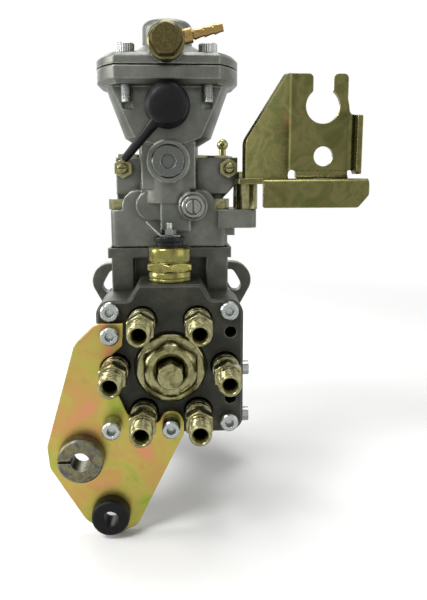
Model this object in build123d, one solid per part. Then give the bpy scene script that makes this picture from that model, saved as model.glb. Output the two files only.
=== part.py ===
from build123d import *
import math
import os

# Six-outlet distributor injection pump. Millimetres, +Z up.
# Origin: centre of the pilot spigot on the mounting flange face. The drive shaft leaves towards +Y
# and the delivery outlets leave towards -Y.

# ---------------------------------------------------------------- general fits
bearing_gap = 0.05          # radial running clearance of shafts and slides
free_gap = 0.3              # space round parts that move past each other
weld = 0.5                  # how far a fused form reaches into the body that carries it
m6 = 6.0                    # small screw thread
m6_head = 10.0
m6_flats = 10.0

# ---------------------------------------------------------------- mounting end
flange_thick = 11.0
flange_core_r = 41.0
ear_circle_r = 53.0
ear_r = 13.5
ear_angles = (30, 150, 270)
slot_width = 8.5
slot_sweep = 5.0           # degrees of adjustment each side of the middle
pilot_dia = 50.0
pilot_length = 6.0

# ---------------------------------------------------------------- housing
housing_front_y = -114.0
body_half_width = 38.0
body_bottom_z = -40.0
body_top_z = 40.0
body_corner_r = 20.0
cavity_r = 33.6
head_bore_r = 31.0
head_bore_depth = 18.0
chamber_half_width = 34.0
chamber_wall = 5.0
chamber_rear_y = -12.0
cover_joint_z = 62.0
joint_flange_thick = 6.0
joint_flange_lip = 2.0
recess_half_width = 21.5
recess_depth = 14.0
chamber_front_y = -96.0

# ---------------------------------------------------------------- timing device
timing_y = -56.0
timing_z = -46.0
timing_bore_r = 12.0
timing_shell_r = 21.5
timing_boss_half = 43.0
timing_cover_thick = 4.0
timing_cover_r = 15.0
timing_screw_r = 17.0
timing_piston_length = 46.0
timing_stroke = 8.0

inlet_boss_r = 11.0
inlet_boss_out = 7.0
inlet_thread_dia = 12.0
inlet_depth = 14.0
inlet_y = -24.0
inlet_z = 12.0

# ---------------------------------------------------------------- distributor head
head_depth = 34.0
head_face_y = housing_front_y - head_depth
head_half_width = 40.0
head_bottom_z = -38.6
head_shoulder_z = 37.0
head_crown_z = 45.5
crown_half_width = 17.0
crown_foot = 22.0
head_corner = 8.0
plunger_dia = 11.0
outlet_count = 6
outlet_circle_r = 30.0
outlet_recess_dia = 16.5
outlet_recess_depth = 4.0
holder_dia = 15.0
holder_seat_depth = 16.0
holder_reach = 36.7         # tip in front of the head face
holder_hex = 14.0
holder_thread_dia = 12.0
holder_bore_dia = 8.0
cone_mouth_dia = 8.4
valve_dia = 6.0
valve_length = 9.0
corner_screw_x = 32.0
corner_screw_z = 31.5
side_hole_x = 33.0
side_hole_z = 19.0
side_hole_dia = 6.4
side_hole_depth = 20.0

# ---------------------------------------------------------------- centre plug
plug_flange_dia = 38.0
plug_flange_thick = 4.0
plug_hex = 27.0
plug_hex_height = 6.5
plug_thread_dia = 24.0
plug_thread_length = 12.0
bleed_bolt_hex = 13.0
bleed_bolt_reach = 20.0
bleed_thread_dia = 8.0

# ---------------------------------------------------------------- shut-off solenoid
solenoid_y = -132.0
solenoid_dia = 24.0
solenoid_ring_height = 5.3
solenoid_hex_height = 5.5
solenoid_can_height = 8.4
solenoid_bore_dia = 18.0
solenoid_bore_depth = 14.0
armature_dia = 9.0
solenoid_lift = 2.0
insulator_dia = 17.0
insulator_height = 5.4
terminal_dia = 4.0

# ---------------------------------------------------------------- governor cover and tower
cover_half_width = 34.0
cover_top_z = 84.0
cover_wall = 4.5
cover_front_y = -115.0
cover_rear_y = -12.0
spine_left_x = -4.6
spine_right_x = 11.8
spine_front_y = -123.0
spine_low_z = 72.0
column_half_width = 15.0
tower_foot_r = 17.0
tower_foot_z = 119.5
column_low_z = 96.0
hump_top_z = 95.0
tower_y = -108.0
tower_flange_r = 39.5
tower_flat = 28.0           # flat of the flange in front of the tower axis
tower_flat_step = 11.5      # how far the tower stays behind the flat of its flange
tower_flange_z = 154.0      # underside of the tower flange
tower_flange_thick = 6.0
tower_neck_r = 33.0
tower_neck_z = 147.0
tower_waist_r = 24.5
tower_waist_z = 124.0
pin_bore_r = 6.5
tower_screw_x = 22.0
tower_screw_y = 20.0
boost_cap_rim = 6.0
boost_cap_dome_r = 14.0
boost_cap_top_z = 187.0
boost_cap_slope_z = 170.0
plug_dia = 18.5
plug_socket = 7.5
plug_front_y = -129.0
plug_depth = 8.0
sensing_z = 111.0
sensing_dia = 5.0
sensing_tip = 0.3            # radius left flat on its domed end
boost_taper = 0.125         # radius lost per millimetre of the pin's taper
pin_taper_low_z = 106.0
pin_taper_length = 16.0
pin_stem_r = 4.4
pin_foot_length = 6.0
diaphragm_r = 37.0
diaphragm_clamp = 6.0
clamp_disc_r = 17.0
boost_travel = 8.0
clamp_disc_gap = 1.2
boost_spring_r = 9.0
boost_spring_wire = 1.6
boost_screw_end = 9.0
banjo_z = 170.6
banjo_face_y = -136.6
banjo_boss_r = 9.2
banjo_bolt_dia = 8.0
banjo_hex = 14.5
banjo_bolt_reach = 12.0
banjo_eye_r = 9.6
banjo_eye_thick = 8.0
banjo_head_height = 5.0
nipple_dia = 5.6
nipple_length = 30.0
nipple_tilt = 14.0
vent_z = 139.5
vent_cap_r = 10.8
vent_cap_front_y = -148.0
vent_cap_depth = 9.0
vent_socket_r = 12.0
vent_tube_dia = 5.4
lever_axle_z = 99.0
lever_axle_y = -86.7
lever_axle_dia = 4.0
lever_slot_half = 5.5
ridge_half_width = 10.0
ridge_top_z = 118.0
ridge_rear_y = -73.0
side_boss_r = 8.2
side_boss_x = -10.4
side_boss_z = 86.6
side_boss_front_y = -120.0
load_screw_x = 13.6
load_screw_z = 86.2
load_ring_r = 8.0
load_ring_front_y = -127.0
load_screw_dia = 9.0
load_screw_front_y = -130.0
stop_screw_dia = 6.0
stop_screw_front_y = -113.0
stop_nut_thick = 5.0
stop_ear_y = -102.5
ear_plate_thick = 7.0
stop_ear_top_z = 113.8
stop_ear_left_x = -31.0
stop_ear_right_x = 40.5
return_boss_r = 10.0
return_x = 4.0
return_y = -30.0
return_thread_dia = 12.0
return_mouth_z = hump_top_z + 3.0
stop_screw_z = 107.5
stop_left_x = -26.5
stop_right_x = 35.0
gasket_thick = 0.8

# ---------------------------------------------------------------- drive shaft and feed pump
shaft_dia = 20.0
taper_small_dia = 17.0
taper_start_y = 12.0
taper_length = 20.0
thread_dia = 12.0
thread_length = 15.0
seal_dia = 34.0
seal_width = 7.0
key_width = 4.0
key_length = 14.0
key_depth = 2.4
key_height = 4.0
feed_front_y = -26.0
feed_rear_y = -14.0
feed_bore_r = 31.0
ring_bore_r = 25.0
ring_offset = 2.0
rotor_r = 22.6
vane_thick = 3.0
vane_height = 10.0

# ---------------------------------------------------------------- gears and governor
tooth_module = 1.5
drive_teeth = 42
governor_teeth = 26
pressure_angle = 20.0
tooth_backlash = 0.12
weight_angles = (0, 90, 180, 270)
gear_rear_y = -32.0
gear_width = 10.0
governor_z = tooth_module * (drive_teeth + governor_teeth) / 2
governor_shaft_dia = 8.0
governor_shaft_front_y = -80.0
cage_r = 19.0
cage_front_y = -64.0
cage_hub_r = 7.5
weight_outer_r = 16.0
weight_inner_r = 10.6
weight_width = 15.0
weight_length = 14.0
weight_hinge_r = 12.5
weight_hinge_y = -46.0
weight_hinge_dia = 3.0
weight_foot = 6.0           # from the hinge in to the sleeve's flange
weight_foot_thick = 2.0
sleeve_flange_r = 9.4
sleeve_flange_thick = 2.0
sleeve_r = 6.5
sleeve_nose_r = 3.1
sleeve_front_y = -88.2

# ---------------------------------------------------------------- cam drive and metering
shaft_claw_front_y = -64.0
claw_offset = 8.0
claw_thick = 5.0
claw_width = 10.0
cross_disc_r = 14.0
cross_disc_thick = 6.0
cam_nose_r = 12.0
cam_claw_rear_y = -58.5
timing_pin_ball_r = 4.4
timing_pin_r = 2.5
timing_pin_hole_r = 7.0
ring_outer_r = 30.0
ring_thick = 12.0
roller_count = 3
roller_r = 6.0
roller_length = 8.0
roller_circle_r = ring_outer_r - 6.0
ring_inner_r = roller_circle_r - 4.0
roller_pin_dia = 4.0
cam_lift = 2.4
cam_plate_r = 28.5
cam_lobe_edge = 0.4          # how far the lobes stop short of the rim
cam_plate_thick = 5.0
plunger_foot_r = 8.0
plunger_foot_thick = 3.0
plunger_front_y = -134.0
yoke_thick = 2.5
collar_r = 11.0
collar_length = 8.0
collar_y = -90.0
collar_groove_depth = 2.6
collar_groove_width = 4.0
plunger_spring_x = 20.0
plunger_spring_r = 5.0
lever_thick = 3.0
lever_half_width = 8.0
lever_pivot_z = 31.0
lever_top_z = 76.0
lever_pin_dia = 5.0
ball_dia = 3.6

# ---------------------------------------------------------------- throttle
throttle_y = -58.0
throttle_dia = 10.0
throttle_boss_r = 11.0
throttle_boss_top_z = 108.0
throttle_plate_z = 113.0
throttle_plate_thick = 4.0
throttle_hub_r = 12.0
idle_arm = 26.5
load_arm = 48.0
load_arm_angle = 40.0
arm_half_width = 7.0
tab_drop = 9.0
throttle_spring_r = 14.0
throttle_spring_lift = 14.0
throttle_peg_lift = 16.0
throttle_spring_wire = 1.2
throttle_peg_x = 4.0
tab_forward = 6.0
tab_clearance = 0.3
stop_screw_end_y = throttle_y - arm_half_width - tab_forward - tab_clearance
governor_spring_z = 73.0
governor_spring_r = 3.2
boost_lever_low_z = 66.0
boost_bar_z = 77.0
vent_seat_y = -136.6
vent_tube_end_x = -25.0
vent_tube_end_y = -122.0
vent_tube_end_z = 111.5

# ---------------------------------------------------------------- cable bracket
sheet = 3.0
bracket_y = -109.0
plate_front_y = -106.0
bracket_base_z = 98.5
base_left_x = 38.0
leg_left_x = 41.2
leg_right_x = 52.0
base_depth = 28.0
plate_left_x = 68.0
plate_right_x = 111.0
plate_top_z = 161.0
keyhole_x = 90.1
keyhole_z = 143.0
keyhole_r = 10.0
keyhole_slot = 12.0
cable_hole_dia = 11.5
cable_hole_z = 114.4
finger_width = 8.6
side_flange = 15.0
side_flange_top_z = 137.0
gusset_left_x = 45.0
gusset_forward = 20.0
gusset_step_z = 122.0
relief_dia = 6.5
lip_height = 13.0
spacer_dia = 12.5
spacer_x = 45.5
arm_top_z = 84.0
arm_bottom_z = 73.5
arm_right_x = 50.5
bracket_screw_pitch = 21.0

# ---------------------------------------------------------------- support bracket
support_thick = 4.5
support_lug_x = -32.0
support_lug_z = 19.5
support_screw_x = -32.0
support_screw_z = -31.0
support_mid_z = -31.0
tall_head = 11.5
split_bush_x = -49.5
split_bush_z = -49.0
split_bush_dia = 25.0
split_bush_bore = 10.4
split_bush_reach = 9.0
rubber_x = -34.4
rubber_z = -83.5
rubber_dia = 21.0
rubber_bore = 9.0
rubber_reach = 8.0
support_left_x = -68.5
support_left_high_z = -43.5
support_left_low_z = -56.0
support_edge_r = 14.5       # rim round the lower bush
bush_step = 2.0


# ---------------------------------------------------------------- basic forms
def rod_x(radius, x0, x1, y=0.0, z=0.0):
    return Pos((x0 + x1) / 2, y, z) * Rot(0, 90, 0) * Cylinder(radius, abs(x1 - x0))


def rod_y(radius, y0, y1, x=0.0, z=0.0):
    return Pos(x, (y0 + y1) / 2, z) * Rot(90, 0, 0) * Cylinder(radius, abs(y1 - y0))


def rod_z(radius, z0, z1, x=0.0, y=0.0):
    return Pos(x, y, (z0 + z1) / 2) * Cylinder(radius, abs(z1 - z0))


def cone_y(radius0, y0, radius1, y1, x=0.0, z=0.0):
    # From radius0 at y0 to radius1 at y1, with y1 greater than y0.
    return Pos(x, (y0 + y1) / 2, z) * Rot(-90, 0, 0) * Cone(radius0, radius1, y1 - y0)


def cone_z(radius0, z0, radius1, z1, x=0.0, y=0.0):
    return Pos(x, y, (z0 + z1) / 2) * Cone(radius0, radius1, z1 - z0)


def block(x0, x1, y0, y1, z0, z1):
    return Pos((x0 + x1) / 2, (y0 + y1) / 2, (z0 + z1) / 2) * Box(x1 - x0, y1 - y0, z1 - z0)


def slab_y(outline, y0, y1):
    # An outline drawn as seen from the outlets (x to the right, z up), from y0 to y1.
    return extrude(Plane((0, y1, 0), x_dir=(1, 0, 0), z_dir=(0, -1, 0)) * outline, y1 - y0)


def slab_z(outline, z0, z1):
    return extrude(Plane.XY.offset(z0) * outline, z1 - z0)


def slab_x(outline, x0, x1):
    # An outline drawn in the plane of y (to the right) and z (up), from x0 to x1.
    return extrude(Plane.YZ.offset(x0) * outline, x1 - x0)


def turned(points, x=0.0, y=0.0):
    # Solid of revolution about an upright axis, from a closed outline of (radius, z).
    return Pos(x, y, 0) * revolve(Plane.XZ * outline(points), Axis.Z)


def hexagon(flats, turn=0.0):
    return Rot(0, 0, turn) * RegularPolygon(flats / 2, 6, major_radius=False)


def hex_y(flats, y0, y1, x=0.0, z=0.0, turn=0.0):
    return slab_y(Pos(x, z) * hexagon(flats, turn), y0, y1)


def hex_z(flats, z0, z1, x=0.0, y=0.0, turn=0.0):
    return slab_z(Pos(x, y) * hexagon(flats, turn), z0, z1)


def outline(points):
    return make_face(Polyline(*points, close=True))


def socket_head_y(x, z, seat_y, reach, head_height=m6):
    # A screw going in towards +Y, its head standing on seat_y, with a round socket in the head.
    head = rod_y(m6_head / 2, seat_y - head_height, seat_y, x, z)
    head = chamfer(head.edges().group_by(Axis.Y)[0], 0.8)
    head -= rod_y(m6 / 2 - 0.5, seat_y - head_height - weld, seat_y - head_height + 3, x, z)
    return head + rod_y(m6 / 2, seat_y - weld, seat_y + reach, x, z)


def save(shape, name):
    shape.label = name
    export_step(shape, f"parts/{name}.step")


def on_circle(radius, angle):
    return radius * math.cos(math.radians(angle)), radius * math.sin(math.radians(angle))


# ---------------------------------------------------------------- housing
def corner_screws():
    return [(-corner_screw_x, corner_screw_z), (corner_screw_x, corner_screw_z),
            (corner_screw_x, -corner_screw_z)]


def timing_screw_places():
    return [(side, turn) for side in (-1, 1) for turn in (0, 180)]


def pump_housing():
    body_height = body_top_z - body_bottom_z
    section = Pos(0, (body_top_z + body_bottom_z) / 2) * RectangleRounded(
        2 * body_half_width, body_height, body_corner_r)
    shape = slab_y(section, housing_front_y, -flange_thick + weld)
    front = Pos(0, 0) * RectangleRounded(2 * body_half_width, 2 * corner_screw_z + m6_head + 2, head_corner)
    shape += slab_y(front, housing_front_y, housing_front_y + head_bore_depth)
    shape += block(-chamber_half_width, chamber_half_width, housing_front_y, chamber_rear_y,
                   0, cover_joint_z)
    lip = chamber_half_width + joint_flange_lip
    shape += block(-lip, lip, housing_front_y, chamber_rear_y,
                   cover_joint_z - joint_flange_thick, cover_joint_z)
    shape += rod_x(timing_shell_r, -timing_boss_half, timing_boss_half, timing_y, timing_z)
    ears = Circle(flange_core_r)
    for angle in ear_angles:
        ears += Pos(*on_circle(ear_circle_r, angle)) * Circle(ear_r)
    shape += slab_y(make_hull(ears.edges()), -flange_thick, 0)
    for angle in ear_angles:
        arc = CenterArc((0, 0), ear_circle_r, angle - slot_sweep, 2 * slot_sweep)
        shape -= slab_y(SlotArc(arc, slot_width), -flange_thick - weld, weld)
    shape += rod_y(pilot_dia / 2, -weld, pilot_length)
    # Inside: head bore, cam chamber, feed pump bore, shaft bore and seal seat.
    shape -= rod_y(head_bore_r, housing_front_y - weld, housing_front_y + head_bore_depth + weld)
    shape -= rod_y(cavity_r, housing_front_y + head_bore_depth, gear_rear_y + free_gap)
    shape -= rod_y(feed_bore_r, gear_rear_y - weld, feed_rear_y)
    shape -= rod_y(shaft_dia / 2 + bearing_gap, feed_rear_y - weld, pilot_length + weld)
    shape -= rod_y(seal_dia / 2, pilot_length - seal_width, pilot_length + weld)
    inner = chamber_half_width - chamber_wall
    shape -= block(-inner, inner, chamber_front_y, chamber_rear_y - chamber_wall,
                   governor_z - cage_r - chamber_wall, cover_joint_z + weld)
    shape -= block(-recess_half_width, recess_half_width, housing_front_y - weld,
                   housing_front_y + recess_depth, head_shoulder_z - weld,
                   cover_joint_z - joint_flange_thick)
    shape += rod_y(governor_shaft_dia, chamber_rear_y - chamber_wall - 3, chamber_rear_y, 0, governor_z) \
        - block(-inner, inner, chamber_front_y, chamber_rear_y, cover_joint_z, cover_joint_z + inner)
    shape -= rod_y(governor_shaft_dia / 2, chamber_rear_y - 2 * chamber_wall, chamber_rear_y - 1,
                   0, governor_z)
    shape -= rod_x(lever_pin_dia / 2 + bearing_gap, -inner - 2.5, inner + 2.5, collar_y, lever_pivot_z)
    # Timing piston bore with the window for its pin.
    shape -= rod_x(timing_bore_r, -timing_boss_half - weld, timing_boss_half + weld, timing_y, timing_z)
    shape -= block(-timing_pin_r - 2, timing_stroke + timing_pin_r + 2, timing_y - timing_pin_r - 2,
                   timing_y + timing_pin_r + 2, timing_z, -ring_outer_r + 4)
    for side, turn in timing_screw_places():
        z = timing_z + timing_screw_r * math.cos(math.radians(turn))
        face = side * timing_boss_half
        shape -= rod_x(m6 / 2, face - side * 10, face + side * weld, timing_y, z)
    for x, z in corner_screws() + [(support_screw_x, support_screw_z)]:
        shape -= rod_y(m6 / 2, housing_front_y - weld, housing_front_y + 12, x, z)
    for x, y in cover_screw_places():
        shape -= rod_z(m6 / 2, cover_joint_z - 12, cover_joint_z + weld, x, y)
    # Fuel inlet on the flank, near the feed pump.
    shape += rod_x(inlet_boss_r, -body_half_width - inlet_boss_out, -body_half_width + 3, inlet_y, inlet_z)
    shape -= rod_x(inlet_thread_dia / 2, -body_half_width - inlet_boss_out - weld,
                   -body_half_width - inlet_boss_out + inlet_depth, inlet_y, inlet_z)
    shape -= rod_x(inlet_thread_dia / 4, -body_half_width - inlet_boss_out, -feed_bore_r + 2,
                   inlet_y, inlet_z)
    return shape


def timing_covers():
    shapes = []
    for side in (-1, 1):
        inner_face = side * timing_boss_half
        outer_face = inner_face + side * timing_cover_thick
        plate = Circle(timing_cover_r)
        for side_z in (-1, 1):
            plate += Pos(0, side_z * timing_screw_r) * Circle(m6_head / 2 + 1)
        plate = Pos(timing_y, timing_z) * make_hull(plate.edges())
        disc = slab_x(plate, min(inner_face, outer_face), max(inner_face, outer_face))
        disc += rod_x(timing_bore_r - free_gap, inner_face - side * 4, inner_face + side * weld,
                      timing_y, timing_z)
        for side_z in (-1, 1):
            disc -= rod_x(m6 / 2 + bearing_gap, inner_face - side * 5, outer_face + side * weld,
                          timing_y, timing_z + side_z * timing_screw_r)
        shapes.append(disc)
    return Compound(children=shapes)


def housing_screws():
    screws = []
    for x, z in corner_screws():
        screws.append(socket_head_y(x, z, head_face_y, head_depth + 10))
    for side, turn in timing_screw_places():
        z = timing_z + timing_screw_r * math.cos(math.radians(turn))
        seat = side * (timing_boss_half + timing_cover_thick)
        screw = rod_x(m6_head / 2, seat, seat + side * m6, timing_y, z)
        screw -= rod_x(m6 / 2 - 0.5, seat + side * 3, seat + side * (m6 + 1), timing_y, z)
        screw += rod_x(m6 / 2, seat - side * 12, seat + side * weld, timing_y, z)
        screws.append(screw)
    return Compound(children=screws)


# ---------------------------------------------------------------- distributor head
def outlet_places():
    return [on_circle(outlet_circle_r, index * 360 / outlet_count) for index in range(outlet_count)]


def head_outline():
    # Rounded block with a raised crown under the solenoid.
    points = [(-head_half_width, head_bottom_z), (head_half_width, head_bottom_z),
              (head_half_width, head_shoulder_z), (crown_foot, head_shoulder_z),
              (crown_half_width, head_crown_z), (-crown_half_width, head_crown_z),
              (-crown_foot, head_shoulder_z), (-head_half_width, head_shoulder_z)]
    face = outline(points)
    lower = face.vertices().group_by(Axis.Y)[0]
    shoulder = [v for v in face.vertices() if abs(abs(v.X) - head_half_width) < 0.01 and v.Y > 0]
    crown = [v for v in face.vertices() if abs(v.X) < head_half_width - 1]
    face = fillet(lower + shoulder, head_corner)
    crown = [v for v in face.vertices() if abs(v.X) < crown_foot + 1 and v.Y > head_shoulder_z - 1]
    return fillet(crown, 2.5)


def distributor_head():
    shape = slab_y(head_outline(), head_face_y, housing_front_y)
    shape = chamfer(shape.faces().sort_by(Axis.Y)[0].edges(), 1.2)
    shape += rod_y(head_bore_r - bearing_gap, housing_front_y - weld, housing_front_y + head_bore_depth)
    shape -= rod_y(plug_thread_dia / 2, head_face_y - weld, head_face_y + plug_thread_length)
    shape -= rod_y(plug_flange_dia / 2 + 1.2, head_face_y - weld, head_face_y + 1.2)
    shape -= rod_y(plunger_dia / 2 + bearing_gap, head_face_y, housing_front_y + head_bore_depth + weld)
    for x, z in outlet_places():
        shape -= rod_y(outlet_recess_dia / 2, head_face_y - weld, head_face_y + outlet_recess_depth, x, z)
        shape -= rod_y(holder_dia / 2, head_face_y, head_face_y + holder_seat_depth, x, z)
    for x, z in corner_screws() + [(support_screw_x, support_screw_z)]:
        shape -= rod_y(m6 / 2 + free_gap, head_face_y - weld, housing_front_y + weld, x, z)
    for x, z in [(side_hole_x, side_hole_z), (side_hole_x, -side_hole_z), (support_lug_x, support_lug_z),
                 (-side_hole_x, -side_hole_z), (0, support_mid_z)]:
        shape -= rod_y(side_hole_dia / 2, head_face_y - weld, head_face_y + side_hole_depth, x, z)
    shape -= rod_z(solenoid_bore_dia / 2, head_crown_z - solenoid_bore_depth, head_crown_z + weld,
                   0, solenoid_y)
    shape -= rod_z(armature_dia / 4, plunger_dia / 2 - 1, head_crown_z, 0, solenoid_y)
    for side in (-1, 1):
        shape -= rod_y(plunger_spring_r + free_gap, housing_front_y + head_bore_depth - 10,
                       housing_front_y + head_bore_depth + weld, side * plunger_spring_x)
    return shape


def center_plug():
    face = head_face_y - plug_flange_thick
    shape = rod_y(plug_flange_dia / 2, face, head_face_y + 1.2)
    shape = chamfer(shape.edges().group_by(Axis.Y)[0], 1.0)
    hexagon_part = hex_y(plug_hex, face - plug_hex_height, face + weld, turn=30)
    corner_cut = cone_y(plug_hex / 2 - 0.6, face - plug_hex_height, plug_flange_dia / 2 - 1, face + weld)
    shape += hexagon_part & corner_cut
    shape += rod_y(plug_thread_dia / 2, head_face_y, head_face_y + plug_thread_length)
    front = face - plug_hex_height
    shape -= cone_y(plug_hex / 2 - 2.5, front - 0.01, bleed_thread_dia / 2, front + 3.5)
    shape -= rod_y(bleed_thread_dia / 2, front - weld, head_face_y + plug_thread_length + weld)
    return shape


def bleed_bolt():
    face = head_face_y - plug_flange_thick - plug_hex_height
    seat = face + 3.5
    top = head_face_y - bleed_bolt_reach
    head = hex_y(bleed_bolt_hex, top, seat - 3.0, turn=30)
    head &= cone_y(bleed_bolt_hex / 2, top, bleed_bolt_hex / 2 + 6, top + 12)
    head += rod_y(bleed_bolt_hex / 2 - 1, seat - 3.2, seat - 1.5)
    return head + rod_y(bleed_thread_dia / 2, seat - 2.0, head_face_y + plug_thread_length - 2)


def delivery_valve_holders():
    holders = []
    seat = head_face_y + holder_seat_depth
    tip = head_face_y - holder_reach
    hex_front = head_face_y - 22
    hex_rear = head_face_y - 14
    for x, z in outlet_places():
        shape = rod_y(holder_dia / 2, hex_rear + 5, seat, x, z)
        shape += rod_y(holder_dia / 2 - 1.2, hex_rear - weld, hex_rear + 5.2, x, z)
        nut = hex_y(holder_hex, hex_front, hex_rear, x, z, turn=15)
        nut &= cone_y(holder_hex / 2, hex_front, holder_hex / 2 + 6, hex_front + 10, x, z)
        shape += nut
        shape += rod_y(holder_thread_dia / 2 - 0.8, hex_front - 2.5, hex_front + weld, x, z)
        thread = rod_y(holder_thread_dia / 2, tip, hex_front - 2, x, z)
        shape += chamfer(thread.edges().group_by(Axis.Y)[0], 0.8)
        shape -= rod_y(cone_mouth_dia / 4, tip, seat, x, z)
        shape -= cone_y(cone_mouth_dia / 2, tip - 0.01, cone_mouth_dia / 4, tip + 6, x, z)
        shape -= rod_y(holder_bore_dia / 2, hex_rear + 4, seat + weld, x, z)
        holders.append(shape)
    return Compound(children=holders)


def delivery_valves():
    valves = []
    seat = head_face_y + holder_seat_depth - 1
    for x, z in outlet_places():
        shape = rod_y(valve_dia / 2 + 0.6, seat - 3, seat, x, z)
        shape += rod_y(valve_dia / 3, seat - valve_length, seat - 3 + weld, x, z)
        valves.append(shape)
    return Compound(children=valves)


# ---------------------------------------------------------------- shut-off solenoid
def solenoid_levels():
    hex_low = head_crown_z + solenoid_ring_height
    can_low = hex_low + solenoid_hex_height
    return hex_low, can_low, can_low + solenoid_can_height


def solenoid_body():
    hex_low, can_low, can_top = solenoid_levels()
    shape = rod_z(solenoid_dia / 2, head_crown_z, hex_low, 0, solenoid_y)
    nut = hex_z(solenoid_dia, hex_low - 0.01, can_low, 0, solenoid_y, turn=15)
    shape += nut & cone_z(solenoid_dia / 2 + 4, hex_low - 1, solenoid_dia / 2 + 0.3, can_low, 0, solenoid_y)
    shape += rod_z(solenoid_dia / 2 - 0.7, can_low - weld, can_low + 1, 0, solenoid_y)
    can = rod_z(solenoid_dia / 2, can_low + 0.8, can_top, 0, solenoid_y)
    shape += fillet(can.edges().group_by(Axis.Z)[-1], 1.5)
    shape += rod_z(solenoid_bore_dia / 2, head_crown_z - solenoid_bore_depth + 2, head_crown_z + weld,
                   0, solenoid_y)
    shape -= rod_z(armature_dia / 2 + bearing_gap, head_crown_z - solenoid_bore_depth, hex_low + 2,
                   0, solenoid_y)
    return shape


def solenoid_plunger():
    low = head_crown_z - solenoid_bore_depth + 0.5
    high = head_crown_z + solenoid_ring_height + 2 - solenoid_lift - free_gap
    shape = rod_z(armature_dia / 2, low, high, 0, solenoid_y)
    return chamfer(shape.edges().group_by(Axis.Z)[0], 1.5)


def solenoid_insulator():
    top = solenoid_levels()[2]
    shape = rod_z(insulator_dia / 2 - 1, top, top + insulator_height * 0.6, 0, solenoid_y)
    collar = rod_z(insulator_dia / 2, top + insulator_height * 0.5, top + insulator_height, 0, solenoid_y)
    shape += fillet(collar.edges(), 0.6)
    return shape - rod_z(terminal_dia / 2, top - weld, top + insulator_height + weld, 0, solenoid_y)


def solenoid_terminal():
    # Threaded stud with a bent spade blade under its nut.
    top = solenoid_levels()[2]
    seat = top + insulator_height
    stud = rod_z(terminal_dia / 2, top, seat + 7.5, 0, solenoid_y)
    blade_low = seat + 0.8
    bend_x = -terminal_dia - 0.7
    path = [(6.0, seat), (bend_x, seat), (bend_x - 8, seat + 8), (bend_x - 7.4, seat + 8.6),
            (bend_x + 0.3, blade_low), (6.0, blade_low)]
    blade = slab_y(outline(path), solenoid_y - 3.2, solenoid_y + 3.2)
    return stud + blade


# ---------------------------------------------------------------- governor cover
def cover_screw_places():
    x = cover_half_width - 4.5
    return [(-x, cover_front_y + 9), (x, cover_front_y + 9),
            (-x, cover_rear_y - 8), (x, cover_rear_y - 8)]


def bracket_screw_places():
    return [(spacer_x, bracket_y), (spacer_x, bracket_y + bracket_screw_pitch)]


def flange_outline():
    # Round flange of the tower, cut flat at the front and rear.
    return Circle(tower_flange_r) & Rectangle(2 * tower_flange_r, 2 * tower_flat)


def boost_screw_places():
    return [(side * tower_screw_x, tower_y + end * tower_screw_y) for side in (-1, 1) for end in (-1, 1)]


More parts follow.
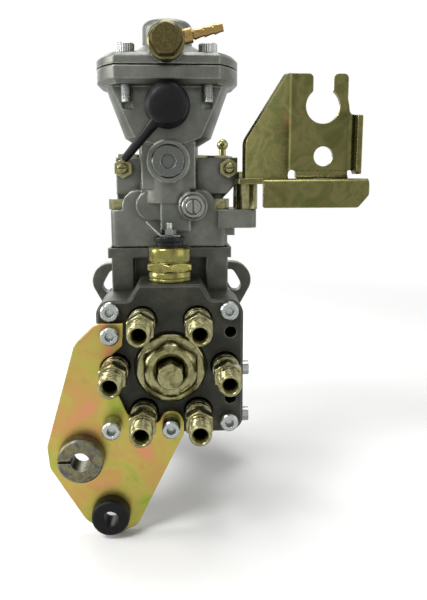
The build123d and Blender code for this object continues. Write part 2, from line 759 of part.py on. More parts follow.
def governor_cover():
    low = cover_joint_z + gasket_thick
    shape = block(-cover_half_width, cover_half_width, cover_front_y, cover_rear_y, low, cover_top_z)
    shape = fillet(shape.edges().filter_by(Axis.Z), 5)
    hump = RectangleRounded(2 * (cover_half_width - 7), 2 * (hump_top_z - cover_top_z), 9)
    shape += slab_y(Pos(0, cover_top_z) * hump, cover_front_y, cover_rear_y - 14)
    # Spine and column below the tower.
    shape += block(spine_left_x, spine_right_x, spine_front_y, tower_y, spine_low_z, column_low_z + weld)
    shape += block(-column_half_width, column_half_width, spine_front_y, tower_y, column_low_z,
                   tower_foot_z + 2)
    # Tower that carries the boost compensator.
    tower = turned([(0, column_low_z - 8), (tower_foot_r, column_low_z - 8), (tower_foot_r, tower_foot_z),
                    (tower_waist_r, tower_waist_z), (tower_neck_r, tower_neck_z),
                    (tower_flange_r - 4, tower_flange_z), (0, tower_flange_z)], 0, tower_y)
    reach = tower_flat - tower_flat_step
    shape += tower & block(-tower_flange_r, tower_flange_r, tower_y - reach, tower_y + reach,
                           column_low_z - 10, tower_flange_z)
    # Breather spigot on the front of the tower.
    shape += rod_y(vent_cap_r - 2, vent_seat_y, tower_y, 0, vent_z)
    rim = slab_z(Pos(0, tower_y) * flange_outline(), tower_flange_z - 3, tower_flange_z + tower_flange_thick)
    shape += chamfer(rim.edges().group_by(Axis.Z)[0], 2.5)
    # Throttle shaft boss and the ridge that houses the boost lever.
    shape += rod_z(throttle_boss_r, cover_top_z - 4, throttle_boss_top_z, 0, throttle_y)
    shape += block(-ridge_half_width, ridge_half_width, tower_y, ridge_rear_y, cover_top_z - 2, ridge_top_z)
    # Ears of the two stop screws.
    left = [(0, cover_top_z), (stop_ear_left_x, cover_top_z), (stop_ear_left_x, stop_ear_top_z),
            (0, stop_ear_top_z)]
    right = [(0, cover_top_z), (stop_ear_right_x - 14, cover_top_z), (stop_ear_right_x, stop_screw_z - 8),
             (stop_ear_right_x, stop_ear_top_z), (0, stop_ear_top_z)]
    for ear in (left, right):
        shape += slab_y(outline(ear), stop_ear_y, stop_ear_y + ear_plate_thick)
    # Arm for the cable bracket.
    arm = block(cover_half_width - 6, arm_right_x, bracket_y - 9, bracket_y + bracket_screw_pitch + 9,
                arm_bottom_z, arm_top_z)
    shape += fillet(arm.edges().filter_by(Axis.Z).group_by(Axis.X)[-1], 4)
    shape += block(cover_half_width - 6, cover_half_width + 4, bracket_y - 5,
                   bracket_y + bracket_screw_pitch + 5, arm_bottom_z - 4.5, arm_bottom_z + weld)
    # Half-round side boss, full-load screw ring and the boss of the sensing pin plug.
    side_boss = rod_y(side_boss_r, side_boss_front_y, cover_front_y + weld, side_boss_x, side_boss_z)
    shape += side_boss + block(side_boss_x, spine_left_x + weld, side_boss_front_y, cover_front_y + weld,
                               side_boss_z - side_boss_r, side_boss_z + side_boss_r)
    shape += rod_y(load_ring_r, load_ring_front_y, cover_front_y + 6, load_screw_x, load_screw_z)
    shape += rod_y(plug_dia / 2 + 2.4, plug_front_y + 1, tower_y, 0, sensing_z)
    shape += rod_z(return_boss_r, cover_top_z - 3, return_mouth_z, return_x, return_y)
    # Pockets and holes of the cover screws.
    for x, y in cover_screw_places():
        shape -= rod_z(m6 / 2 + free_gap, low - weld, cover_top_z + weld, x, y)
        shape -= rod_z(m6_head / 2 + 1.8, cover_top_z, cover_top_z + m6 + 2.5, x, y)
    # Hollow over the governor.
    inner = cover_half_width - cover_wall - 5
    shape -= block(-inner, inner, chamber_front_y, cover_rear_y - cover_wall, low - weld, cover_top_z - 3)
    # Bores: adjusting pin, sensing pin and its plug, lever slot, throttle shaft and the screws.
    shape -= rod_z(pin_bore_r, cover_top_z + 2, tower_flange_z + tower_flange_thick + weld, 0, tower_y)
    shape -= rod_z(diaphragm_r - diaphragm_clamp, tower_flange_z + 1, tower_flange_z + tower_flange_thick + weld,
                   0, tower_y) & slab_z(Pos(0, tower_y) * Rectangle(90, 2 * (tower_flat - diaphragm_clamp)),
                                        tower_flange_z, tower_flange_z + 9)
    shape -= rod_z(clamp_disc_r + clamp_disc_gap, tower_top() + gasket_thick - boost_travel - clamp_disc_gap,
                   tower_top(), 0, tower_y)
    shape -= rod_y(sensing_dia / 2 + bearing_gap, plug_front_y, lever_axle_y, 0, sensing_z)
    shape -= rod_y(plug_dia / 2, plug_front_y - 3, plug_front_y + plug_depth, 0, sensing_z)
    shape -= block(-lever_slot_half, lever_slot_half, lever_axle_y - 7, lever_axle_y + 7,
                   cover_top_z - 4, ridge_top_z - 3)
    shape -= rod_x(lever_axle_dia / 2 + bearing_gap, -lever_slot_half - 2.5, lever_slot_half + 2.5,
                   lever_axle_y, lever_axle_z)
    shape -= rod_z(throttle_dia / 2 + bearing_gap, cover_top_z - 4, throttle_boss_top_z + weld, 0, throttle_y)
    shape -= rod_y(load_screw_dia / 2, load_screw_front_y, chamber_front_y - 1, load_screw_x, load_screw_z)
    for x in (stop_left_x, stop_right_x):
        shape -= rod_y(stop_screw_dia / 2, stop_ear_y - weld, stop_ear_y + ear_plate_thick + weld, x,
                       stop_screw_z)
    for x, y in boost_screw_places():
        shape -= rod_z(m6 / 2, tower_flange_z - 8, tower_flange_z + tower_flange_thick + weld, x, y)
        shape -= rod_z(m6_head / 2 - 0.5, tower_flange_z - 6 - boost_screw_end, tower_flange_z - 3, x, y)
    for x, y in bracket_screw_places():
        shape -= rod_z(m6 / 2, arm_bottom_z - weld, arm_top_z + weld, x, y)
    shape -= rod_z(return_thread_dia / 2, cover_top_z - 4, return_mouth_z + weld, return_x, return_y)
    return shape


def cover_screws():
    # Flanged hexagon screws of the cover and the two longer ones of the cable bracket.
    screws = []
    for x, y in cover_screw_places():
        shape = rod_z(m6 / 2, cover_joint_z - 11, cover_top_z + weld, x, y)
        shape += hex_z(m6_flats, cover_top_z, cover_top_z + m6, x, y)
        screws.append(shape)
    for x, y in bracket_screw_places():
        top = bracket_base_z + sheet
        shape = rod_z(m6 / 2, arm_bottom_z + 1, top + weld, x, y)
        shape += hex_z(m6_flats, top, top + m6 - 2, x, y, turn=30)
        screws.append(shape)
    return Compound(children=screws)


def cover_gasket():
    half = cover_half_width
    inner = cover_half_width - cover_wall - 5
    shape = block(-half, half, cover_front_y + 1, cover_rear_y, cover_joint_z, cover_joint_z + gasket_thick)
    shape -= block(-inner, inner, chamber_front_y, cover_rear_y - cover_wall, cover_joint_z - 1,
                   cover_joint_z + 2)
    for x, y in cover_screw_places():
        shape -= rod_z(m6 / 2 + free_gap, cover_joint_z - 1, cover_joint_z + 2, x, y)
    return shape


# ---------------------------------------------------------------- boost compensator
def tower_top():
    return tower_flange_z + tower_flange_thick


def diaphragm():
    top = tower_top()
    shape = slab_z(Pos(0, tower_y) * offset(flange_outline(), -1.5), top, top + gasket_thick)
    shape -= rod_z(pin_stem_r, top - 1, top + 2, 0, tower_y)
    for x, y in boost_screw_places():
        shape -= rod_z(m6 / 2 + free_gap, top - 1, top + 2, x, y)
    return shape


def boost_cover():
    low = tower_top() + gasket_thick
    rim = slab_z(Pos(0, tower_y) * flange_outline(), low, low + boost_cap_rim)
    shape = chamfer(rim.edges().group_by(Axis.Z)[-1], 2.0)
    dome_low = boost_cap_slope_z
    shape += cone_z(tower_flange_r - 12, low + boost_cap_rim - 0.01, boost_cap_dome_r + 2, dome_low + 3, 0, tower_y)
    dome = rod_z(boost_cap_dome_r, dome_low, boost_cap_top_z, 0, tower_y)
    shape += fillet(dome.edges().group_by(Axis.Z)[-1], 4)
    shape += rod_y(banjo_boss_r, banjo_face_y, tower_y, 0, banjo_z)
    shape += block(-banjo_boss_r, banjo_boss_r, banjo_face_y + 6, tower_y, low + weld, banjo_z)
    shape -= rod_z(boost_spring_r + 1.5, low - weld, boost_cap_top_z - 6, 0, tower_y)
    shape -= cone_z(diaphragm_r - diaphragm_clamp - 3, low - 0.01, boost_spring_r + 1.5, low + 8, 0, tower_y)
    shape -= rod_y(banjo_bolt_dia / 2, banjo_face_y - weld, tower_y - boost_spring_r, 0, banjo_z)
    for x, y in boost_screw_places():
        shape -= rod_z(m6 / 2 + free_gap, low - weld, boost_cap_top_z, x, y)
        shape -= rod_z(m6_head / 2 + 1, low + boost_cap_rim, boost_cap_top_z, x, y)
    return shape


def boost_cover_screws():
    # Cheese-head screws that stand out below the tower flange.
    screws = []
    seat = tower_top() + gasket_thick + boost_cap_rim
    for x, y in boost_screw_places():
        head = rod_z(m6_head / 2, seat, seat + 5.5, x, y)
        head = chamfer(head.edges().group_by(Axis.Z)[-1], 0.6)
        screws.append(head + rod_z(m6 / 2, tower_flange_z - 3 - boost_screw_end, seat + weld, x, y))
    return Compound(children=screws)


def diaphragm_pin():
    # Clamping discs above and below the diaphragm on one stem with a tapered foot.
    top = tower_top() + gasket_thick
    shape = rod_z(pin_stem_r, pin_taper_low_z, top + 3, 0, tower_y)
    shape += rod_z(clamp_disc_r, top, top + 1.5, 0, tower_y)
    shape += rod_z(pin_stem_r + 2, top + 1, top + 5, 0, tower_y)
    taper_high = pin_taper_low_z + pin_taper_length
    foot_r = pin_stem_r + boost_taper * pin_taper_length
    shape += cone_z(foot_r, pin_taper_low_z, pin_stem_r, taper_high, 0, tower_y)
    shape += rod_z(foot_r, pin_taper_low_z - pin_foot_length, pin_taper_low_z + 0.01, 0, tower_y)
    return shape


def boost_lever():
    # Two-armed lever between the sensing pin and the governor lever.
    reach_top = sensing_z + sensing_dia / 2
    front = lever_axle_y - 1.5
    rear = lever_axle_y + 1.5
    half = lever_slot_half - 1.5
    shape = block(-half, half, front, rear, boost_bar_z, reach_top)
    shape += block(-half, half + 7, front, rear, boost_bar_z, boost_bar_z + 3)
    shape += block(half + 3, half + 7, front, rear, boost_lever_low_z, boost_bar_z + 1)
    shape += rod_x(lever_axle_dia, -lever_slot_half + 1, lever_slot_half - 1, lever_axle_y, lever_axle_z)
    return shape + rod_x(lever_axle_dia / 2, -lever_slot_half - 2, lever_slot_half + 2, lever_axle_y,
                         lever_axle_z)


def sensing_pin():
    foot_r = pin_stem_r + boost_taper * pin_taper_length
    low_edge = sensing_z - sensing_dia / 2
    contact_r = foot_r - boost_taper * (low_edge - pin_taper_low_z) + bearing_gap
    shape = rod_y(sensing_dia / 2, tower_y + contact_r, lever_axle_y - 1.6, 0, sensing_z)
    shape = fillet(shape.edges().group_by(Axis.Y)[-1], sensing_dia / 2 - sensing_tip)
    return chamfer(shape.edges().group_by(Axis.Y)[0], 0.5)


def pivot_plug():
    shape = rod_y(plug_dia / 2 - bearing_gap, plug_front_y, plug_front_y + plug_depth, 0, sensing_z)
    shape = chamfer(shape.edges().group_by(Axis.Y)[0], 0.8)
    shape -= hex_y(plug_socket, plug_front_y - weld, plug_front_y + 4, 0, sensing_z)
    return shape - rod_y(plug_socket / 2 + 0.6, plug_front_y - weld, plug_front_y + 1.5, 0, sensing_z)


def banjo_bolt():
    face = banjo_face_y - banjo_eye_thick - banjo_head_height
    seat = face + banjo_head_height
    head = hex_y(banjo_hex, face, seat, 0, banjo_z, turn=0)
    head &= cone_y(banjo_hex / 2, face, banjo_hex / 2 + 6, face + 10, 0, banjo_z)
    return head + rod_y(banjo_bolt_dia / 2 - bearing_gap, seat - weld, banjo_face_y + banjo_bolt_reach, 0, banjo_z)


def banjo_fitting():
    rear = banjo_face_y
    shape = rod_y(banjo_eye_r, rear - banjo_eye_thick, rear, 0, banjo_z)
    shape = chamfer(shape.edges(), 0.8)
    middle = rear - banjo_eye_thick / 2
    nipple = rod_x(nipple_dia / 2 + 1.0, banjo_eye_r - 2, banjo_eye_r + 4)
    nipple += rod_x(nipple_dia / 2 - 0.6, banjo_eye_r, nipple_length)
    barb_pitch = (nipple_length - banjo_eye_r - 5) / 3
    for index in range(3):
        start = banjo_eye_r + 5 + index * barb_pitch
        barb = Pos(start + barb_pitch * 0.4, 0, 0) * Rot(0, 90, 0) * Cone(
            nipple_dia / 2, nipple_dia / 2 - 0.7, barb_pitch * 0.8)
        nipple += barb
    shape += Pos(0, middle, banjo_z) * Rot(0, -nipple_tilt, 0) * nipple
    shape -= rod_y(banjo_bolt_dia / 2, rear - banjo_eye_thick - weld, rear + weld, 0, banjo_z)
    return shape


def vent_boot():
    # Rubber cap on the breather of the tower with its moulded drain tube.
    cap = rod_y(vent_cap_r, vent_cap_front_y, vent_cap_front_y + vent_cap_depth, 0, vent_z)
    cap = fillet(cap.edges().group_by(Axis.Y)[0], 2.0)
    rear_y = vent_cap_front_y + vent_cap_depth
    cap += rod_y(vent_socket_r, rear_y - weld, vent_seat_y, 0, vent_z)
    path_y = vent_cap_front_y + vent_cap_depth / 2
    route = Line((-4, path_y, vent_z - 6), (vent_tube_end_x, vent_tube_end_y, vent_tube_end_z))
    start = Plane(origin=route @ 0, z_dir=route % 0)
    tube = sweep(start * Circle(vent_tube_dia / 2), path=route)
    return cap + tube


def adjusting_screws():
    # The two slotted stop screws and the full-load screw.
    screws = []
    for x in (stop_left_x, stop_right_x):
        screw = rod_y(stop_screw_dia / 2, stop_screw_front_y, stop_screw_end_y, x, stop_screw_z)
        screw = chamfer(screw.edges().group_by(Axis.Y)[0], 0.7)
        screws.append(screw - block(x - 4, x + 4, stop_screw_front_y - weld, stop_screw_front_y + 1.5,
                                    stop_screw_z - 0.5, stop_screw_z + 0.5))
    screw = rod_y(load_screw_dia / 2 - bearing_gap, load_screw_front_y, chamber_front_y - 2, load_screw_x,
                  load_screw_z)
    screw = chamfer(screw.edges().group_by(Axis.Y)[0], 0.8)
    screws.append(screw - block(load_screw_x - 0.7, load_screw_x + 0.7, load_screw_front_y - weld,
                                load_screw_front_y + 2, load_screw_z - 6, load_screw_z + 6))
    return Compound(children=screws)


def lock_nuts():
    nuts = []
    for x in (stop_left_x, stop_right_x):
        nut = hex_y(m6_flats, stop_ear_y - stop_nut_thick, stop_ear_y, x, stop_screw_z, turn=30)
        nuts.append(nut - rod_y(stop_screw_dia / 2, stop_ear_y - 10, stop_ear_y + 1, x, stop_screw_z))
    ring = rod_y(load_ring_r - 1.5, load_ring_front_y - 2.5, load_ring_front_y, load_screw_x, load_screw_z)
    ring = chamfer(ring.edges().group_by(Axis.Y)[0], 0.6)
    nuts.append(ring - rod_y(load_screw_dia / 2, load_ring_front_y - 5, load_ring_front_y + 1, load_screw_x,
                             load_screw_z))
    seat = solenoid_levels()[2] + insulator_height + 0.8
    nut = hex_z(7, seat, seat + 3.2, 0, solenoid_y)
    nuts.append(nut - rod_z(terminal_dia / 2, seat - 1, seat + 5, 0, solenoid_y))
    return Compound(children=nuts)


# ---------------------------------------------------------------- throttle
def throttle_shaft():
    peg_z = cover_joint_z + throttle_peg_lift
    shape = rod_z(throttle_dia / 2, peg_z, throttle_plate_z + throttle_plate_thick + 3, 0, throttle_y)
    # Eccentric peg that holds the governor spring.
    return shape + rod_z(2.0, governor_spring_z - 1.5, peg_z + 1, throttle_peg_x, throttle_y)


def throttle_lever():
    hub = Circle(throttle_hub_r)
    idle = Pos(-idle_arm, 0) * Circle(arm_half_width)
    load = Pos(*on_circle(load_arm, load_arm_angle)) * Circle(arm_half_width)
    plate = make_hull((hub + idle).edges()) + make_hull((hub + load).edges())
    place = Pos(0, throttle_y)
    shape = slab_z(place * plate, throttle_plate_z, throttle_plate_z + throttle_plate_thick)
    shape += rod_z(throttle_hub_r - 3, throttle_plate_z, throttle_plate_z + throttle_plate_thick + 2, 0,
                   throttle_y)
    shape -= rod_z(throttle_dia / 2, throttle_plate_z - 1, throttle_plate_z + 12, 0, throttle_y)
    # Stop tabs bent down at the two arms.
    half = arm_half_width - 1
    tab = block(stop_left_x - half, stop_left_x + half, throttle_y - arm_half_width - tab_forward,
                throttle_y - arm_half_width + 1, throttle_plate_z, throttle_plate_z + throttle_plate_thick)
    tab += block(stop_left_x - half, stop_left_x + half, throttle_y - arm_half_width - tab_forward,
                 throttle_y - arm_half_width - tab_forward + sheet, throttle_plate_z - tab_drop,
                 throttle_plate_z + 1)
    shape += tab
    lug = block(stop_right_x - half, stop_right_x + half, throttle_y - arm_half_width - tab_forward,
                throttle_y - arm_half_width + 3, throttle_plate_z, throttle_plate_z + throttle_plate_thick)
    lug += block(stop_right_x - half, stop_right_x + half, throttle_y - arm_half_width - tab_forward,
                 throttle_y - arm_half_width - tab_forward + sheet, throttle_plate_z - tab_drop,
                 throttle_plate_z + 1)
    shape += Pos(0, throttle_y, 0) * Rot(0, 0, load_arm_angle) * Pos(0, -throttle_y, 0) * lug
    # Ball stud for the throttle cable.
    x, y = on_circle(load_arm, load_arm_angle)
    top = throttle_plate_z + throttle_plate_thick
    shape += rod_z(2.5, top - 1, top + 6, x, throttle_y + y)
    return shape + Pos(x, throttle_y + y, top + 8) * Sphere(4.0)


# ---------------------------------------------------------------- cable bracket
def cable_bracket():
    # Sheet tray: back plate with a keyhole slot, base with a lip, an angled gusset and a side flange.
    front = plate_front_y
    rear = front + sheet
    low = bracket_base_z
    finger_x = keyhole_x + keyhole_slot / 2 + finger_width
    plate = outline([(plate_left_x, low), (plate_right_x, low), (plate_right_x, side_flange_top_z),
                     (plate_right_x - 5, side_flange_top_z + 2), (finger_x, side_flange_top_z + 10),
                     (finger_x, plate_top_z), (plate_left_x, plate_top_z)])
    plate = fillet(plate.vertices().group_by(Axis.Y)[-1], 3)
    plate -= Pos(keyhole_x, keyhole_z) * Circle(keyhole_r)
    plate -= Pos(keyhole_x, keyhole_z + keyhole_slot * 2) * Rectangle(keyhole_slot, keyhole_slot * 4)
    fingers = [v for v in plate.vertices() if v.Y > plate_top_z - 0.01
               and abs(abs(v.X - keyhole_x) - keyhole_slot / 2) < 0.01]
    plate = fillet(fingers, 2.5)
    plate -= Pos(keyhole_x + 0.9, cable_hole_z) * Circle(cable_hole_dia / 2)
    shape = slab_y(plate, front, rear)
    shape += block(base_left_x, plate_right_x, front - base_depth, rear, low, low + sheet)
    shape += block(leg_left_x, leg_right_x, rear - weld, bracket_y + bracket_screw_pitch + 8, low, low + sheet)
    # Lip folded down at the front edge, with its corner cut off.
    lip_left = leg_right_x
    lip = [(lip_left, low + weld), (plate_right_x, low + weld), (plate_right_x, low - lip_height + 7),
           (plate_right_x - 6, low - lip_height), (lip_left, low - lip_height)]
    shape += slab_y(outline(lip), front - base_depth, front - base_depth + sheet)
    # Gusset folded forward to the left, cut on the slant at its outer edge.
    slant = math.degrees(math.atan2(gusset_forward, plate_left_x - gusset_left_x))
    width = math.hypot(gusset_forward, plate_left_x - gusset_left_x)
    panel = outline([(0, low), (width, low), (width, gusset_step_z), (3, plate_top_z), (0, plate_top_z)])
    panel = extrude(Plane((0, 0, 0), x_dir=(-1, 0, 0), z_dir=(0, 1, 0)) * panel, sheet)
    shape += Pos(plate_left_x + 1, front, 0) * Rot(0, 0, slant) * panel
    shape += rod_z(sheet, low, plate_top_z, plate_left_x + 1, front + sheet) & block(
        plate_left_x - 9, plate_left_x + 9, front, rear, low, plate_top_z)
    # Stiffening flange on the right edge.
    shape += block(plate_right_x - sheet, plate_right_x, front - side_flange, rear, low, side_flange_top_z)
    for x in (plate_left_x + 2, plate_right_x - sheet / 2):
        shape -= rod_y(relief_dia / 2, front - 6, rear + 1, x, low + sheet + relief_dia / 2 - 2)
    for x, y in bracket_screw_places():
        shape -= rod_z(m6 / 2 + free_gap, low - weld, low + sheet + weld, x, y)
    return shape


def bracket_spacers():
    spacers = []
    for x, y in bracket_screw_places():
        tube = rod_z(spacer_dia / 2, arm_top_z, bracket_base_z, x, y)
        spacers.append(tube - rod_z(m6 / 2 + free_gap, arm_top_z - 1, bracket_base_z + 1, x, y))
    return Compound(children=spacers)


# ---------------------------------------------------------------- support bracket
def support_bracket():
    lug_top = support_lug_z + 6.0
    points = [(support_lug_x + 7, lug_top), (-39.5, lug_top), (-51.5, 14.0), (support_left_x, support_left_high_z),
              (support_left_x + 1, support_left_low_z),
              (rubber_x - support_edge_r, rubber_z - 4), (rubber_x, rubber_z - support_edge_r),
              (rubber_x + support_edge_r, rubber_z - 8), (6.8, -37.5), (6.8, -30.0), (0.5, -24.5), (-7.9, -30.6),
              (-24.0, -25.5), (-36.7, 3.5), (-26.0, 13.2)]
    face = outline(points)
    near = [v for v in face.vertices() if v.Y < rubber_z + 1]
    face = fillet(near, 9)
    upper = [v for v in face.vertices() if (v.X < -36 and v.Y > 0) or (v.X < -60)]
    face = fillet([v for v in upper if v.Y > 20 and v.X < -39 or v.X < -45], 7)
    face += Pos(0.2, support_mid_z) * Circle(6.6)
    rear = head_face_y
    shape = slab_y(face, rear - support_thick, rear)
    for x, z in support_screw_places():
        shape -= rod_y(m6 / 2 + free_gap, rear - support_thick - 1, rear + 1, x, z)
    for x, z in outlet_places():
        shape -= rod_y(outlet_recess_dia / 2, rear - support_thick - 1, rear + 1, x, z)
    shape -= rod_y(split_bush_dia / 2 - bush_step, rear - support_thick - 1, rear + 1, split_bush_x, split_bush_z)
    shape -= rod_y(rubber_dia / 2 - bush_step, rear - support_thick - 1, rear + 1, rubber_x, rubber_z)
    return shape


def support_screw_places():
    return [(support_lug_x, support_lug_z), (support_screw_x, support_screw_z), (0, support_mid_z)]


def support_bracket_screws():
    seat = head_face_y - support_thick
    screws = []
    for x, z in support_screw_places():
        tall = m6 if z > 0 else tall_head
        reach = support_thick + 14
        screws.append(socket_head_y(x, z, seat, reach, head_height=tall))
    return Compound(children=screws)


def split_bush():
    rear = head_face_y
    front = rear - support_thick - split_bush_reach
    shape = rod_y(split_bush_dia / 2, front, rear - support_thick, split_bush_x, split_bush_z)
    shape = chamfer(shape.edges().group_by(Axis.Y)[0], 1.0)
    shape += rod_y(split_bush_dia / 2 - bush_step, rear - support_thick - weld, rear, split_bush_x, split_bush_z)
    shape -= rod_y(split_bush_bore / 2, front - 1, rear + 1, split_bush_x, split_bush_z)
    return shape - block(split_bush_x - split_bush_dia, split_bush_x, front - 1, rear + 1,
                         split_bush_z - 0.9, split_bush_z + 0.9)


def rubber_bush():
    rear = head_face_y
    front = rear - support_thick - rubber_reach
    shape = rod_y(rubber_dia / 2, front, rear - support_thick, rubber_x, rubber_z)
    shape = fillet(shape.edges().group_by(Axis.Y)[0], 2.0)
    shape += rod_y(rubber_dia / 2 - bush_step, rear - support_thick - weld, rear, rubber_x, rubber_z)
    return shape - rod_y(rubber_bore / 2, front - 1, rear + 1, rubber_x, rubber_z)


# ---------------------------------------------------------------- drive shaft and feed pump
def drive_shaft():
    shape = rod_y(shaft_dia / 2, gear_rear_y - gear_width - 2, taper_start_y)
    end = taper_start_y + taper_length
    shape += cone_y(shaft_dia / 2, taper_start_y - 0.01, taper_small_dia / 2, end)
    shape += rod_y(thread_dia / 2, end - weld, end + thread_length)
    # Two claws that drive the cross disc.
    yoke_rear = gear_rear_y - gear_width - 2
    shape += rod_y(shaft_dia / 2 + 3, yoke_rear - 4, yoke_rear)
    for side in (-1, 1):
        shape += block(side * claw_offset - claw_thick / 2, side * claw_offset + claw_thick / 2,
                       shaft_claw_front_y, yoke_rear - 2, -claw_width / 2, claw_width / 2)
    return shape - key_slot()


def key_slot():
    middle = taper_start_y + taper_length / 2
    level = (shaft_dia + taper_small_dia) / 4
    return block(-key_width / 2, key_width / 2, middle - key_length / 2, middle + key_length / 2,
                 level - key_depth, level + 10)


def shaft_key():
    middle = taper_start_y + taper_length / 2
    level = (shaft_dia + taper_small_dia) / 4
    return block(-key_width / 2, key_width / 2, middle - key_length / 2, middle + key_length / 2,
                 level - key_depth, level - key_depth + key_height)


def shaft_seal():
    shape = rod_y(seal_dia / 2, pilot_length - seal_width, pilot_length - 0.5)
    return shape - rod_y(shaft_dia / 2 + bearing_gap, pilot_length - seal_width - 1, pilot_length + 1)


def vane_rotor():
    shape = rod_y(rotor_r, feed_front_y + bearing_gap, feed_rear_y - bearing_gap)
    shape -= rod_y(shaft_dia / 2, feed_front_y - 1, feed_rear_y + 1)
    for angle in (0, 90, 180, 270):
        slot = block(rotor_r - vane_height - 0.6, rotor_r + 2, feed_front_y - 1, feed_rear_y + 1,
                     -vane_thick / 2 - bearing_gap, vane_thick / 2 + bearing_gap)
        shape -= Rot(0, angle, 0) * slot
    return shape


def vanes():
    vane = block(rotor_r - vane_height, rotor_r + 0.2, feed_front_y + bearing_gap, feed_rear_y - bearing_gap,
                 -vane_thick / 2, vane_thick / 2)
    return Compound(children=[Rot(0, angle, 0) * vane for angle in (0, 90, 180, 270)])


def eccentric_ring():
    shape = rod_y(feed_bore_r, feed_front_y, feed_rear_y)
    return shape - rod_y(ring_bore_r, feed_front_y - 1, feed_rear_y + 1, 0, ring_offset)


# ---------------------------------------------------------------- gears and governor
def involute_point(base_r, radius):
    # Angle swept by the involute from its base circle out to the given radius.
    if radius <= base_r:
        return 0.0
    alpha = math.acos(base_r / radius)
    return math.tan(alpha) - alpha


def gear_outline(teeth, turn):
    # Full-depth involute teeth, each flank taken at four radii from the root to the tip.
    pitch_r = tooth_module * teeth / 2
    base_r = pitch_r * math.cos(math.radians(pressure_angle))
    tip_r = pitch_r + tooth_module
    root_r = pitch_r - 1.25 * tooth_module
    half_tooth = math.pi / (2 * teeth) - tooth_backlash / (2 * pitch_r)
    at_pitch = half_tooth + involute_point(base_r, pitch_r)
    low_r = max(root_r, base_r)
    radii = [root_r, low_r + 0.01, pitch_r, tip_r]
    points = []
    for tooth in range(teeth):
        middle = turn + 2 * math.pi * tooth / teeth
        flank = [(r, at_pitch - involute_point(base_r, r)) for r in radii]
        for r, half in flank:
            points.append((r * math.cos(middle - half), r * math.sin(middle - half)))
        for r, half in reversed(flank):
            points.append((r * math.cos(middle + half), r * math.sin(middle + half)))
    return outline(points)


def drive_gear():
    # A gap of this gear faces straight up, towards the governor gear.
    teeth = gear_outline(drive_teeth, math.pi / 2 + math.pi / drive_teeth)
    shape = slab_y(teeth, gear_rear_y - gear_width, gear_rear_y)
    return shape - rod_y(shaft_dia / 2, gear_rear_y - gear_width - 1, gear_rear_y + 1)


def governor_cage():
    # Gear with a tooth straight down, and the posts that hold the four flyweights.
    teeth = Pos(0, governor_z) * gear_outline(governor_teeth, -math.pi / 2)
    shape = slab_y(teeth, gear_rear_y - gear_width, gear_rear_y)
    gear_front = gear_rear_y - gear_width
    shape += rod_y(cage_r, gear_front - 2, gear_front, 0, governor_z)
    shape += rod_y(cage_r - 4, gear_front - 1, gear_front + weld, 0, governor_z)
    cup = rod_y(cage_r, cage_front_y, gear_front - 1, 0, governor_z)
    cup -= rod_y(cage_hub_r + 3.5, cage_front_y - 1, gear_front - 2, 0, governor_z)
    for angle in weight_angles:
        pocket = block(0, cage_r + 2, cage_front_y - 1, gear_front - 2, -weight_width / 2 - free_gap,
                       weight_width / 2 + free_gap)
        cup -= Pos(0, 0, governor_z) * Rot(0, angle, 0) * pocket
    shape += cup
    return shape - rod_y(governor_shaft_dia / 2 + bearing_gap, cage_front_y - 1, gear_rear_y + 1, 0,
                         governor_z)


def flyweight(angle):
    # Block that swings out about its rear edge, with a foot that pushes the sleeve forward.
    front = weight_hinge_y - weight_length
    half = weight_width / 2
    shape = block(weight_inner_r, weight_outer_r, front, weight_hinge_y - 0.2, -half, half)
    shape = chamfer(shape.edges().filter_by(Axis.Z).group_by(Axis.X)[-1], 2)
    round_edge = Pos(weight_hinge_r, weight_hinge_y, 0) * Cylinder(weight_hinge_dia / 2, weight_width)
    foot = block(weight_hinge_r - weight_foot, weight_hinge_r, weight_hinge_y - weight_foot_thick,
                 weight_hinge_y, -2.5, 2.5)
    shape += round_edge
    shape += foot
    return Pos(0, 0, governor_z) * Rot(0, angle, 0) * shape


def governor_shaft():
    return rod_y(governor_shaft_dia / 2, governor_shaft_front_y, chamber_rear_y - 1, 0, governor_z)


def governor_sleeve():
    rear = weight_hinge_y - weight_foot_thick - free_gap
    shape = rod_y(sleeve_flange_r, rear - sleeve_flange_thick, rear, 0, governor_z)
    shape += rod_y(sleeve_r, sleeve_front_y + 2, rear, 0, governor_z)
    shape += cone_y(sleeve_nose_r, sleeve_front_y, sleeve_r, sleeve_front_y + 2.01, 0, governor_z)
    return shape - rod_y(governor_shaft_dia / 2 + bearing_gap, sleeve_front_y + 4, rear + 1, 0, governor_z)


# ---------------------------------------------------------------- cam drive and metering
def ring_front_y():
    return timing_y - ring_thick / 2


def roller_axis_y():
    return ring_front_y() - 2.0


def cam_crest_y():
    return roller_axis_y() - roller_r - free_gap


def roller_angles():
    return [90 + index * 360 / roller_count for index in range(roller_count)]


def roller_ring():
    shape = rod_y(ring_outer_r, ring_front_y(), ring_front_y() + ring_thick)
    shape -= rod_y(ring_inner_r, ring_front_y() - 1, ring_front_y() + ring_thick + 1)
    low = roller_circle_r - roller_length / 2
    high = roller_circle_r + roller_length / 2
    for angle in roller_angles():
        pocket = rod_x(roller_r + free_gap, low - 1, high + free_gap, roller_axis_y())
        seat = rod_x(roller_pin_dia / 2, low - 4, ring_outer_r + 1, roller_axis_y())
        shape -= Rot(0, -angle, 0) * pocket
        shape += Rot(0, -angle, 0) * (block(high + 0.8, ring_outer_r - 0.5, roller_axis_y() - 3,
                                            ring_front_y() + 1, -4, 4) - seat)
        shape -= Rot(0, -angle, 0) * seat
    # Pin down to the timing piston, with its ball end.
    shape += rod_z(timing_pin_r, timing_z, -ring_inner_r - 3, 0, timing_y)
    return shape + Pos(0, timing_y, timing_z) * Sphere(timing_pin_ball_r)


